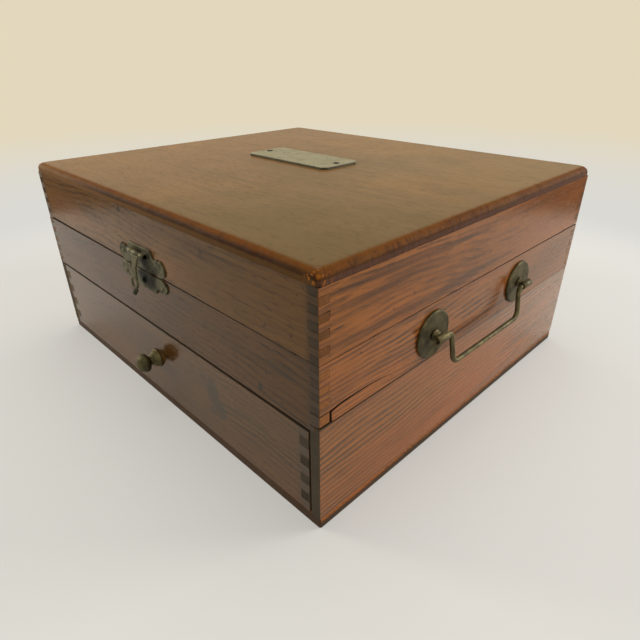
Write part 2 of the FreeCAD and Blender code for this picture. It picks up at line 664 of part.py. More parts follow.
nodes["drawer_knob"] = cut("drawer_knob_bored", knob_body, knob_socket)
knob_shank = rod("knob_screw_shank", ("knob_x", "-case_depth / 2 - knob_screw_depth", "knob_height"),
                 ALONG_Y, "knob_screw_radius", "knob_screw_depth + drawer_front_thickness")
knob_screw_head = rod("knob_screw_head", ("knob_x", DRAWER_FLOOR_Y, "knob_height"), ALONG_Y,
                      "knob_screw_head_radius", "knob_screw_head_height")
nodes["knob_screw"] = fuse("knob_screw_body", [knob_shank, knob_screw_head])

# Latch plates, each a block with two round ears
PLATE_FACE = "-case_depth / 2 - latch_plate_thickness"
BLOCK_LEFT = "latch_x - latch_block_width / 2"


def latch_plate(name, low_z, height, ear_z):
    """Make one flat latch plate with its ears, and return its pieces."""
    made = [box(name + "_block", (BLOCK_LEFT, PLATE_FACE, low_z),
                ("latch_block_width", "latch_plate_thickness", height)),
            box(name + "_bridge", ("latch_x - latch_ear_spacing / 2", PLATE_FACE,
                                   ear_z + " - latch_ear_radius / 2"),
                ("latch_ear_spacing", "latch_plate_thickness", "latch_ear_radius"))]
    for label, sign in (("left", "-"), ("right", "+")):
        at = ("latch_x " + sign + " latch_ear_spacing / 2", PLATE_FACE, ear_z)
        made.append(rod(name + "_ear_" + label, at, ALONG_Y, "latch_ear_radius",
                        "latch_plate_thickness"))
    return made


PIN_Z = LID_BOTTOM + " + latch_pin_height"
PIN_Y = "-case_depth / 2 - latch_pin_stand"
HASP_HALF = "hasp_width / 2"
KNUCKLE_SPAN = "hasp_width + 2 * latch_knuckle_gap + 2 * latch_knuckle_length"
lid_plate_pieces = latch_plate("latch_lid_plate", LID_BOTTOM + " + latch_edge_gap",
                               "latch_lid_plate_height", EAR_Z_LID)
left_knuckle_x = "latch_x - hasp_width / 2 - latch_knuckle_gap - latch_knuckle_length"
right_knuckle_x = "latch_x + hasp_width / 2 + latch_knuckle_gap"
for label, start_x in (("left", left_knuckle_x), ("right", right_knuckle_x)):
    lid_plate_pieces.append(rod("latch_knuckle_" + label, (start_x, PIN_Y, PIN_Z), ALONG_X,
                                "latch_knuckle_radius", "latch_knuckle_length"))
    lid_plate_pieces.append(box("latch_web_" + label,
                                (start_x, PIN_Y, PIN_Z + " - latch_knuckle_radius"),
                                ("latch_knuckle_length", "latch_pin_stand",
                                 "2 * latch_knuckle_radius")))
pin_bore = rod("latch_pin_bore", (left_knuckle_x, PIN_Y, PIN_Z), ALONG_X, "latch_pin_radius",
               KNUCKLE_SPAN)
lid_plate_tools = group("latch_lid_plate_tools", [pin_bore, nodes["latch_lid_nails"]])
nodes["latch_lid_plate"] = cut("latch_lid_plate_body", fuse("latch_lid_plate_blank", lid_plate_pieces),
                               lid_plate_tools)
nodes["latch_pin"] = rod("latch_pin_rod", (left_knuckle_x, PIN_Y, PIN_Z), ALONG_X, "latch_pin_radius",
                         KNUCKLE_SPAN)
keeper_pieces = latch_plate("latch_keeper", LID_LINE + " - latch_keeper_height",
                            "latch_keeper_height - latch_edge_gap", EAR_Z_KEEPER)
keeper_pieces.append(rod("latch_keeper_nub", ("latch_x", PLATE_FACE + " - keeper_nub_stand",
                                              LID_LINE + " - keeper_nub_drop"), ALONG_Y,
                         "keeper_nub_radius", "keeper_nub_stand"))
nodes["latch_keeper_plate"] = cut("latch_keeper_body", fuse("latch_keeper_blank", keeper_pieces),
                                  nodes["latch_keeper_nails"])

# Hasp: a bowed tongue hung on the pin, with a window and a curled tip
hasp_outer = []
hasp_inner = []
for station in range(HASP_STATIONS + 1):
    share = str(station / HASP_STATIONS)
    swell = "hasp_flare * sin(" + str(90.0 * station / HASP_STATIONS) + " deg)"
    height = "-hasp_length * " + share
    hasp_outer.append(("-latch_knuckle_radius - " + swell, height))
    hasp_inner.append(("hasp_thickness - latch_knuckle_radius - " + swell, height))
hasp_body, hasp_outline = outline_body("latch_hasp_blank", "YZ_Plane", hasp_outer + hasp_inner[::-1])
pad(hasp_body, hasp_outline, "latch_hasp_pad", "hasp_width")
place(hasp_body, ("latch_x - " + HASP_HALF, PIN_Y, PIN_Z))
hasp_knuckle = rod("latch_hasp_knuckle", ("latch_x - " + HASP_HALF, PIN_Y, PIN_Z), ALONG_X,
                   "latch_knuckle_radius", "hasp_width")
CURL_Y = PIN_Y + " - latch_knuckle_radius - hasp_flare - hasp_curl_radius + hasp_thickness"
hasp_curl = rod("latch_hasp_curl", ("latch_x - " + HASP_HALF, CURL_Y, PIN_Z + " - hasp_length"),
                ALONG_X, "hasp_curl_radius", "hasp_width")
hasp_bore = rod("latch_hasp_bore", ("latch_x - hasp_width", PIN_Y, PIN_Z), ALONG_X,
                "latch_pin_radius + latch_pin_clearance", "2 * hasp_width")
hasp_window = box("latch_hasp_window",
                  ("latch_x - hasp_window_width / 2", PIN_Y + " - latch_knuckle_radius - 2 * hasp_flare",
                   PIN_Z + " - hasp_window_drop - hasp_window_height / 2"),
                  ("hasp_window_width", "latch_knuckle_radius + 2 * hasp_flare", "hasp_window_height"))
hasp_tools = group("latch_hasp_tools", [hasp_bore, hasp_window])
nodes["latch_hasp"] = cut("latch_hasp_tongue",
                          fuse("latch_hasp_joined", [hasp_body, hasp_knuckle, hasp_curl]), hasp_tools)

# Right-hand hinge: leaves on the outside of the back, knuckles on one pin
LEAF_LEFT = HINGE_X + " - hinge_width / 2"
LEAF_EDGE = "hinge_barrel_radius + hinge_barrel_clearance"


def hinge_leaf(name, sign, knuckles, screws, pin_play):
    """Make one leaf: plate, knuckles, webs, pin bore and screw holes."""
    if sign == "+":
        plate_low = HINGE_AXIS_Z + " + " + LEAF_EDGE
        web_low = HINGE_AXIS_Z
    else:
        plate_low = HINGE_AXIS_Z + " - (" + LEAF_EDGE + ") - hinge_leaf_height"
        web_low = HINGE_AXIS_Z + " - (" + LEAF_EDGE + ")"
    made = [box(name + "_plate", (LEAF_LEFT, BACK, plate_low),
                ("hinge_width", "hinge_leaf_thickness", "hinge_leaf_height"))]
    for number, (start_x, length) in enumerate(knuckles):
        label = name + "_" + str(number)
        made.append(rod(label + "_knuckle", (start_x, HINGE_AXIS_Y, HINGE_AXIS_Z), ALONG_X,
                        "hinge_barrel_radius", length))
        made.append(box(label + "_web", (start_x, HINGE_AXIS_Y + " - hinge_barrel_radius", web_low),
                        (length, "hinge_leaf_thickness - hinge_barrel_stand + hinge_barrel_radius",
                         LEAF_EDGE)))
    bore = rod(name + "_bore", (LEAF_LEFT + " - hinge_width", HINGE_AXIS_Y, HINGE_AXIS_Z), ALONG_X,
               "hinge_pin_radius" + pin_play, "3 * hinge_width")
    return cut(name, fuse(name + "_blank", made), group(name + "_tools", [bore, screws]))


outer_knuckle = HINGE_X + " + hinge_width / 2 - hinge_knuckle_length"
case_knuckles = [(LEAF_LEFT, "hinge_knuckle_length"), (outer_knuckle, "hinge_knuckle_length")]
middle_length = "hinge_width - 2 * hinge_knuckle_length - 2 * hinge_knuckle_gap"
lid_knuckles = [(LEAF_LEFT + " + hinge_knuckle_length + hinge_knuckle_gap", middle_length)]
nodes["hinge_right_case_leaf"] = hinge_leaf("hinge_case_leaf", "-", case_knuckles, case_screws_right, "")
nodes["hinge_right_lid_leaf"] = hinge_leaf("hinge_lid_leaf", "+", lid_knuckles, lid_screws_right,
                                           " + hinge_pin_clearance")
nodes["hinge_right_pin"] = rod("hinge_pin_rod", (LEAF_LEFT, HINGE_AXIS_Y, HINGE_AXIS_Z), ALONG_X,
                               "hinge_pin_radius", "hinge_width")
for piece in ("case_leaf", "lid_leaf", "pin"):
    twin = "hinge_left_" + piece
    nodes[twin] = mirror(twin + "_twin", nodes["hinge_right_" + piece])

# Check every object, then write one file a piece
doc.recompute()
for obj in doc.Objects:
    if "Invalid" in obj.State or "Error" in obj.State:
        raise RuntimeError(obj.Name + " did not build: " + str(obj.State))
for node, obj in nodes.items():
    obj.Label = node
    if obj.Shape.isNull() or not obj.Shape.isValid():
        raise RuntimeError(node + " has no valid shape")
    if not obj.Shape.Solids:
        raise RuntimeError(node + " has no solid")
    obj.Shape.exportStep("parts/" + node + ".step")
print(len(nodes), "pieces written")
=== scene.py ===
"""Looks of the drafting instrument case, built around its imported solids."""

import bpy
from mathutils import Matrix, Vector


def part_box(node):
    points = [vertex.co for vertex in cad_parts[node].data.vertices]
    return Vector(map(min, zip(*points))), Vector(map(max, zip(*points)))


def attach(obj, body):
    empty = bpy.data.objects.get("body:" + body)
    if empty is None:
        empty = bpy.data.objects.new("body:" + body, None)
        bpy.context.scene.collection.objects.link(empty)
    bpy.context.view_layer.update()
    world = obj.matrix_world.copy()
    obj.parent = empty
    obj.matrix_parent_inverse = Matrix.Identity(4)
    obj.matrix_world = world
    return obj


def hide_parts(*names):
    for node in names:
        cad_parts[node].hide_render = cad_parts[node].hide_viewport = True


bl_info = {
    "name": "Drafting Instrument Case",
    "version": (1, 0, 0),
    "blender": (4, 5, 0),
    "location": "View3D > Sidebar > Case",
    "description": "Builds the boards, fittings and linings of a wooden drafting instrument case",
    "category": "Object",
}

import bmesh
import bpy
import numpy as np
from bpy.props import FloatProperty, FloatVectorProperty, PointerProperty
from mathutils import Matrix, Vector

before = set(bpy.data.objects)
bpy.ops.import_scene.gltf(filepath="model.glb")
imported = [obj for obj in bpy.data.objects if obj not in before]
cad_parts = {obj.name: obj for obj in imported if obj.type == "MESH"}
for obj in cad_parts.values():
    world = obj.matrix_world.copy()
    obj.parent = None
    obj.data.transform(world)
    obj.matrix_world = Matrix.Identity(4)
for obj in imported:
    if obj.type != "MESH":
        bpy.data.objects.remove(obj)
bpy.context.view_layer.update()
MM = 0.001
FINGERS = 9
DRAWER_FINGERS = 9
X, Y, Z = 0, 1, 2

# Growth lines in a metre of the brown front and back boards and of the bare boards
FRONT_LINES, BARE_LINES = 230.0, 110.0
WORN_WIDTH = 0.7 * MM
EYE_RADIUS = 2.4 * MM
NEARLY_ZERO = 0.02 * MM

# The photograph's view, and the lamps: name, place, size, power, tint
CAMERA_PLACE = (0.27466, -0.25376, 0.21244)
CAMERA_RIGHT = (0.70094, 0.71322, 0.0)
CAMERA_FORWARD = (-0.62725, 0.61654, -0.47585)
CAMERA_ROLL = -0.00767
CAMERA_LENS, SENSOR_WIDTH = 28.006, 36.0
LAMPS = (("left_window", (-1.5, -0.85, 0.55), 0.5, 12.0, (1.0, 0.91, 0.78)),
         ("right_window", (0.95, 1.25, 0.5), 0.7, 15.0, (1.0, 0.95, 0.89)),
         ("front_fill", (0.9, -1.0, 0.9), 1.2, 3.0, (1.0, 0.95, 0.88)),
         ("top", (-0.2, 0.3, 1.8), 1.4, 12.0, (1.0, 0.96, 0.90)))
LAMP_AIM = (0.0, 0.0, 0.07)
BACKDROP = (0.89, 0.845, 0.74)
FLOOR_HALF = 6.0
PAPER_RIM = (0.545, 0.605)
PAPER_TONE = 0.88
ROOM_LIGHT, ROOM_STRENGTH = (0.95, 0.93, 0.90, 1.0), 0.36
BLACK = (0.0, 0.0, 0.0, 1.0)

# Soft dark spots on the front boards, and the hasp's painted shadow on the latch plates, in millimetres:
# along, level, half length, half height, strength
# The lid front's last spot, large and soft, is painted shade darkening the board's right part.
LID_FRONT_STAINS_AND_SHADE = ((-17.0, 130.6, 2.2, 2.6, 1.0), (70.0, 126.0, 1.3, 4.5, 0.6),
                    (-60.0, 118.0, 26.0, 7.0, 0.25), (130.0, 115.0, 110.0, 60.0, 0.3))
CASE_FRONT_STAINS = ((111.2, 67.3, 2.0, 2.2, 1.0), (92.0, 75.0, 0.9, 11.0, 0.35),
                     (128.0, 85.0, 14.0, 5.0, 0.3))
DRAWER_STAINS = ((64.5, 40.0, 7.0, 11.0, 0.75), (71.0, 29.0, 6.5, 8.0, 0.75), (62.5, 25.0, 3.0, 5.0, 0.75),
                 (70.0, 17.0, 2.0, 2.4, 0.6), (56.0, 46.0, 5.0, 4.0, 0.45), (100.0, 40.0, 18.0, 4.0, 0.25))
LATCH_HASP_SHADOW = ((11.0, 104.0, 10.0, 6.0, 0.5), (7.0, 105.0, 4.0, 4.5, 0.95), (8.0, 93.5, 12.0, 7.5, 0.6),
                 (3.5, 94.5, 6.5, 5.5, 0.95))


def length_prop(label, text, millimetres):
    """Give a length property with its default in millimetres."""
    return FloatProperty(name=label, description=text, default=millimetres * MM, unit="LENGTH", precision=5)


def colour_prop(label, text, red, green, blue):
    """Give a colour property with its default as screen values from 0 to 255."""
    return FloatVectorProperty(name=label, description=text, subtype="COLOR_GAMMA", size=3, min=0.0, max=1.0,
                               default=(red / 255.0, green / 255.0, blue / 255.0))


class CaseSizes(bpy.types.PropertyGroup):
    """Sizes of the finish that the solids leave out."""

    edge_round: length_prop("Board edge", "Rounding of the arrises of a board", 0.16)
    finger_corner: length_prop("Finger corner", "Rounding of the corners of a finger", 0.15)
    lid_round: length_prop("Lid round", "Rounding of the upper edge of the lid board", 4.4)
    lid_corner: length_prop("Lid corner", "Rounding of the lid board's corners seen from above", 3.2)
    lid_settle: length_prop("Lid settle", "How far the lid has sunk at its front right corner", 0.3)
    edge_wander: length_prop("Edge wander", "How far a worn edge wanders", 0.06)
    crack_gap: length_prop("Crack gap", "Width of the crack in the right wall near its front end", 1.15)
    plate_edge: length_prop("Plate edge", "Rounding of the edge of a metal plate", 0.25)
    felt_wave: length_prop("Felt wave", "Height of the waves in a felt sheet", 0.25)


class CaseColours(bpy.types.PropertyGroup):
    """Colours of the finishes."""

    lid_mid: colour_prop("Lid board", "Dull face of the lid board", 140, 101, 49)
    lid_dark: colour_prop("Lid grain", "Dark grain of the lid board", 98, 70, 31)
    side_mid: colour_prop("Side wood", "Red-brown face of the side boards", 152, 90, 36)
    side_dark: colour_prop("Side grain", "Dark grain of the side boards", 68, 40, 23)
    lid_front: colour_prop("Lid front", "Brown face of the lid's front board", 122, 86, 46)
    front_mid: colour_prop("Front wood", "Brown face of the front boards", 91, 59, 26)
    front_dark: colour_prop("Front grain", "Dark grain of the front boards", 46, 28, 16)
    worn: colour_prop("Worn edge", "Orange-brown of a rubbed edge", 114, 66, 20)
    # Dark brown of old varnish on the round, and also the painted shade on the round's underside.
    burnt: colour_prop("Burnt edge", "Dark brown of an old varnished edge", 72, 42, 18)
    # Painted shade: the shaded lower band on the lid board's ends.
    purple: colour_prop("Lower band", "Purple-brown of the lid board's lower edge", 92, 62, 48)
    end_grain: colour_prop("End grain", "Dark grey-brown of cut ends", 50, 43, 35)
    finger: colour_prop("Finger ends", "Cut ends of the front boards in the side faces", 164, 104, 56)
    # Painted reflection: pale cut ends that match the haze on the left end of the front.
    dusty: colour_prop("Dusty ends", "Pale cut ends at the drawer front's left end", 124, 109, 94)
    dim: colour_prop("Dim ends", "Dark cut ends at the drawer front's right end", 72, 63, 54)
    bare_mid: colour_prop("Bare wood", "Inner boards without varnish", 176, 142, 100)
    bare_dark: colour_prop("Bare grain", "Grain of the inner boards", 138, 104, 68)
    brass: colour_prop("Aged brass", "Rubbed face of the fittings", 100, 92, 64)
    patina: colour_prop("Patina", "Dark film on the fittings", 46, 46, 36)
    latch: colour_prop("Latch metal", "Rubbed grey-green face of the latch", 102, 99, 77)
    plate: colour_prop("Name plate", "Pale dull metal of the name plate", 152, 147, 122)
    steel: colour_prop("Screw steel", "Tarnished steel of the screws", 84, 78, 66)
    felt: colour_prop("Felt", "Green felt of the linings", 44, 74, 54)


def settings():
    """Give the scene's sizes and colours."""
    scene = bpy.context.scene
    return scene.case_sizes, scene.case_colours


def linear(colour):
    """Turn screen values into the light values that a shader takes."""
    values = np.array(colour[:3], float)
    light = np.where(values <= 0.04045, values / 12.92, ((values + 0.055) / 1.055) ** 2.4)
    return tuple(light) + (1.0,)


# Shader maths


class Value:
    """A socket whose Python operators add Math nodes."""

    def __init__(self, finish, socket):
        self.finish = finish
        self.socket = socket

    def __add__(self, other):
        return self.finish.math("ADD", self, other)

    def __sub__(self, other):
        return self.finish.math("SUBTRACT", self, other)

    def __mul__(self, other):
        return self.finish.math("MULTIPLY", self, other)

    def __truediv__(self, other):
        return self.finish.math("DIVIDE", self, other)

    def __pow__(self, other):
        return self.finish.math("POWER", self, other)

    def __radd__(self, other):
        return self.finish.math("ADD", other, self)

    def __rsub__(self, other):
        return self.finish.math("SUBTRACT", other, self)

    def __rmul__(self, other):
        return self.finish.math("MULTIPLY", other, self)

    def __rtruediv__(self, other):
        return self.finish.math("DIVIDE", other, self)

    def __abs__(self):
        return self.finish.math("ABSOLUTE", self)


class Finish:
    """A material in the making: any node by one method, maths on values, and a colour laid on in coats."""

    def __init__(self, name, base):
        self.material = bpy.data.materials.new(name)
        self.material.use_nodes = True
        self.tree = self.material.node_tree
        self.tree.nodes.clear()
        self.shader = self.node("ShaderNodeBsdfPrincipled")
        self.node("ShaderNodeOutputMaterial", Surface=self.shader.outputs["BSDF"])
        self.colour = base
        coords = self.node("ShaderNodeTexCoord")
        self.vector = coords.outputs["Object"]
        self.at = self.parts(self.vector)
        self.facing = self.parts(coords.outputs["Normal"])

    def node(self, kind, setup=None, **inputs):
        """Add a node: its settings first, then the values or links of its sockets."""
        made = self.tree.nodes.new(kind)
        for key, value in (setup or {}).items():
            setattr(made, key, value)
        for key, value in inputs.items():
            self.feed(self.pick(made.inputs, key), value)
        return made

    def pick(self, sockets, key):
        """Find an enabled socket by its name, or by its number after an underscore."""
        if key.startswith("_"):
            return sockets[int(key[1:])]
        wanted = key.replace("__", " ")
        return [item for item in sockets if item.name == wanted and item.enabled][0]

    def feed(self, socket, value):
        """Link a socket or set its value."""
        source = getattr(value, "socket", value)
        if isinstance(source, bpy.types.NodeSocket):
            self.tree.links.new(source, socket)
        else:
            socket.default_value = source

    def parts(self, vector):
        """Give the three values of a vector."""
        return [Value(self, socket) for socket in self.node("ShaderNodeSeparateXYZ", Vector=vector).outputs]

    def math(self, operation, first, second=None):
        """Add one Math node."""
        inputs = {"_" + str(n): v for n, v in enumerate((first, second)) if v is not None}
        return Value(self, self.node("ShaderNodeMath", {"operation": operation}, **inputs).outputs[0])

    def lower(self, first, second):
        """Give the lower of two values."""
        return self.math("MINIMUM", first, second)

    def higher(self, first, second):
        """Give the higher of two values."""
        return self.math("MAXIMUM", first, second)

    def step(self, value, low, high):
        """Rise smoothly from 0 at the low value to 1 at the high one."""
        made = self.node("ShaderNodeMapRange", {"interpolation_type": "SMOOTHSTEP"}, _0=value, _1=low,
                         _2=high)
        return Value(self, made.outputs[0])

    def noise(self, scale, shift=0.0, detail=3.0, rough=0.55, twist=0.0):
        """Give a noise from 0 to 1 on the object's place, stretched by one scale or by three."""
        scale = scale if isinstance(scale, tuple) else (scale, scale, scale)
        moved = self.node("ShaderNodeMapping", Vector=self.vector, Location=(shift, shift * 1.7, shift * 0.6),
                          Scale=scale)
        made = self.node("ShaderNodeTexNoise", Vector=moved.outputs[0], Scale=1.0, Detail=detail,
                         Roughness=rough, Distortion=twist)
        return Value(self, made.outputs[0])

    def spots(self, scale, shift, low, high, detail=3.0, rough=0.55, twist=0.0):
        """Give soft spots: a noise made to rise from 0 at the low value to 1 at the high one."""
        return self.step(self.noise(scale, shift, detail, rough, twist), low, high)

    def noise_along(self, value, shift):
        """Give a noise from 0 to 1 along one value."""
        made = self.node("ShaderNodeTexNoise", {"noise_dimensions": "1D"}, W=value + shift, Scale=1.0,
                         Detail=3.0)
        return Value(self, made.outputs[0])

    def mix(self, factor, first, second):
        """Mix two colours by a factor."""
        made = self.node("ShaderNodeMix", {"data_type": "RGBA"}, Factor=factor, A=first, B=second)
        return [item for item in made.outputs if item.enabled][0]

    def lay(self, amount, tone):
        """Lay a coat of a tone over the colour so far."""
        self.colour = self.mix(amount, self.colour, tone)

    def bump(self, height, strength, distance):
        """Give a normal from a height."""
        return self.node("ShaderNodeBump", Height=height, Strength=strength, Distance=distance).outputs[0]

    def finish(self, **inputs):
        """Set the shader's sockets and give the material."""
        for key, value in dict(inputs, Base__Color=self.colour).items():
            self.feed(self.pick(self.shader.inputs, key), value)
        return self.material


def side_gap(paint, low, high, axis):
    """Give the distance from the nearer of a box's two sides across an axis."""
    middle, half = (low[axis] + high[axis]) / 2.0, (high[axis] - low[axis]) / 2.0
    return half - abs(paint.at[axis] - middle)


def edge_distance(paint, low, high, axes=(X, Y, Z)):
    """Give the distance from the nearest arris of a board's box.

    On a face one of the distances to the box's sides is nothing, so the middle one of three, or the
    higher of two where only upright arrises count, is the distance to the nearest arris.
    """
    gaps = [side_gap(paint, low, high, axis) for axis in axes]
    most = paint.higher(gaps[0], gaps[1])
    if len(gaps) == 2:
        return most
    return paint.higher(paint.lower(gaps[0], gaps[1]), paint.lower(most, gaps[2]))


def soft_spots(paint, spots, axis, ragged, inner, tone):
    """Lay soft spots (along, level, half length, half height, strength) with ragged rims over the colour."""
    for along, rise, half_along, half_rise, strength in spots:
        spread = ((paint.at[axis] - along * MM) / (half_along * MM)) ** 2.0
        spread = spread + ((paint.at[Z] - rise * MM) / (half_rise * MM)) ** 2.0
        paint.lay((1.0 - paint.step(spread + (ragged - 0.5) * 0.9, inner, 1.0)) * strength, tone)


def stretched(axis, along, across):
    """Give three noise scales with the grain's axis stretched."""
    scale = [across, across, across]
    scale[axis] = along
    return tuple(scale)


def shade(colour, factor):
    """Darken or lighten a light-valued colour."""
    return tinted(colour, factor, factor, factor)


def tinted(colour, *factors):
    """Give a light-valued colour with each of its three values times its own factor."""
    return tuple(min(1.0, factor * value) for factor, value in zip(factors, colour)) + (1.0,)


def varnished_wood(name, node, grain, mid, dark, seed, lines=300.0, line_strength=0.75, streak=0.35,
                   end_tone=None, end_amount=1.0, worn_amount=0.5, gloss=0.33, sheen=0.35, foot=0.0,
                   grime=0.0, gap_shade=0.0, even=0.0, fade=0.0, end_rough=0.8, stains_and_shade=()):
    """Make a board: bent growth lines, fibres, pores, rubbed arrises and end grain where it is cut across.

    Grime darkens the last finger's length of the grain, gap shade lays painted shade on the faces that close
    a joint and dulls them, foot is the height of a band of painted shade at the floor, even is how unbroken
    the growth lines run, and fade is how much the figure clears toward the far end.
    """
    _, colours = settings()
    low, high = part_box(node)
    mid, dark, end_grain = linear(mid), linear(dark), linear(colours.end_grain)
    deep = shade(dark, 0.5)
    paint = Finish(name, mid)
    across = [axis for axis in (X, Y, Z) if axis != grain]
    sway = paint.noise(stretched(grain, 4.0, 9.0), seed, 2.0, 0.5)
    ripple = paint.noise(stretched(grain, 30.0, 90.0), seed + 3.1, 2.0, 0.5)
    depth = paint.at[across[0]] * 0.8 + paint.at[across[1]]
    saw = paint.math("FRACT", depth * lines + sway * (lines * 0.04) + ripple * 0.9)
    line = paint.step(saw, 0.30, 0.74) * (1.0 - paint.step(saw, 0.84, 1.0))
    uneven = 1.0 - even
    broken = even + paint.spots(stretched(grain, 26.0, 170.0), seed + 8.0, 0.36, 0.60, 3.0, 0.6) * uneven
    zone = even + paint.spots(stretched(grain, 4.0, 24.0), seed + 8.6, 0.30, 0.62, 2.0, 0.5) * uneven
    streaks = paint.noise(stretched(grain, 8.0, 150.0), seed + 5.0, 4.0, 0.6)
    fibre = paint.noise(stretched(grain, 70.0, 1500.0), seed + 2.0, 2.0)
    pore = paint.spots(stretched(grain, 130.0, 1700.0), seed + 4.0, 0.58, 0.68, 1.0)
    broad = paint.noise(stretched(grain, 5.0, 22.0), seed + 1.3)
    cleared = paint.step(paint.at[grain], -0.02, 0.10) * fade
    figure = 1.0 - cleared
    paint.lay(line * broken * (0.35 + zone * 0.65) * figure * line_strength, dark)
    paint.lay(paint.step(streaks, 0.42, 0.72) * figure * streak, dark)
    paint.lay(paint.step(fibre, 0.48, 0.74) * figure * 0.42, dark)
    paint.lay(pore * (0.30 + line * 0.45) * figure, deep)
    paint.lay(cleared * 0.45, dark)
    paint.lay(paint.step(broad, 0.46, 0.74) * 0.45, tinted(mid, 1.45, 1.15, 0.95))
    paint.lay((1.0 - paint.step(broad, 0.28, 0.48)) * 0.35, dark)
    ends = paint.step(abs(paint.facing[grain]), 0.6, 0.9) * end_amount
    dots = paint.noise((1300.0, 1300.0, 420.0), seed + 6.0, 2.0)
    end_light = linear(end_tone or colours.end_grain)
    end_colour = paint.mix(paint.step(dots, 0.40, 0.68) * 0.6, end_light, shade(end_light, 0.5))
    smudge = paint.spots((55.0, 55.0, 75.0), seed + 10.0, 0.40, 0.62)
    end_colour = paint.mix(smudge * 0.7, end_colour, shade(end_light, 0.42))
    paint.lay(ends, end_colour)
    if grime:
        end_gap = side_gap(paint, low, high, grain) + (streaks - 0.5) * 0.004
        paint.lay((1.0 - paint.step(end_gap, 0.0035, 0.0105)) * (1.0 - ends * 0.9) * grime, end_grain)
    # Faces that close a joint get painted shade, nearly black, standing in for the shade inside the gaps;
    # they are dulled too.
    closed = 0.0
    if gap_shade:
        closed = paint.step(abs(paint.facing[Z]), 0.15, 0.5)
        paint.lay(closed * gap_shade, shade(deep, 0.3))
    # Painted shade at the floor: a dark band in end-grain colour, low on the base's sides and over its front
    # and back.
    if foot:
        level = paint.at[Z] + (broad - 0.5) * 0.001 - paint.step(abs(paint.facing[Y]), 0.4, 0.8) * 0.008
        paint.lay((1.0 - paint.step(level, foot - 0.0012, foot + 0.0008)) * 0.9, end_colour)
    # Stains, and on the lid front one large spot of painted shade.
    soft_spots(paint, stains_and_shade, grain, streaks, 0.25, shade(end_grain, 0.7))
    near = edge_distance(paint, low, high, (X, Y))
    ragged = near + (paint.noise(210.0, seed + 7.0, 4.0, 0.65) - 0.5) * (WORN_WIDTH * 3.0)
    rubbed = 1.0 - paint.step(ragged, WORN_WIDTH * 0.3, WORN_WIDTH)
    paint.lay(rubbed * paint.spots(75.0, seed + 9.0, 0.42, 0.56) * worn_amount, linear(colours.worn))
    speck = paint.spots(260.0, seed + 11.0, 0.755, 0.775, 1.0)
    paint.lay(speck * 0.6, deep)
    height = fibre * 0.3 + line * 0.15 - pore * 0.5 - speck * 0.8 + dots * ends * 0.4
    cloud = paint.noise(30.0, seed + 13.0)
    rough = gloss + streaks * 0.06 + cloud * 0.12 + pore * 0.12 + ends * end_rough + closed * 0.6
    return paint.finish(Roughness=rough, Specular__IOR__Level=sheen, Specular__Tint=(1.0, 0.88, 0.68, 1.0),
                        Normal=paint.bump(height, 0.16, 0.0002))


def bare_wood(node, grain, seed, end_tone=None, grime=0.0):
    """Make the bare wood of one inner board."""
    _, colours = settings()
    return varnished_wood(node + "_wood", node, grain, colours.bare_mid, colours.bare_dark, seed, BARE_LINES,
                          0.4, end_tone=end_tone, worn_amount=0.0, gloss=0.6, grime=grime)


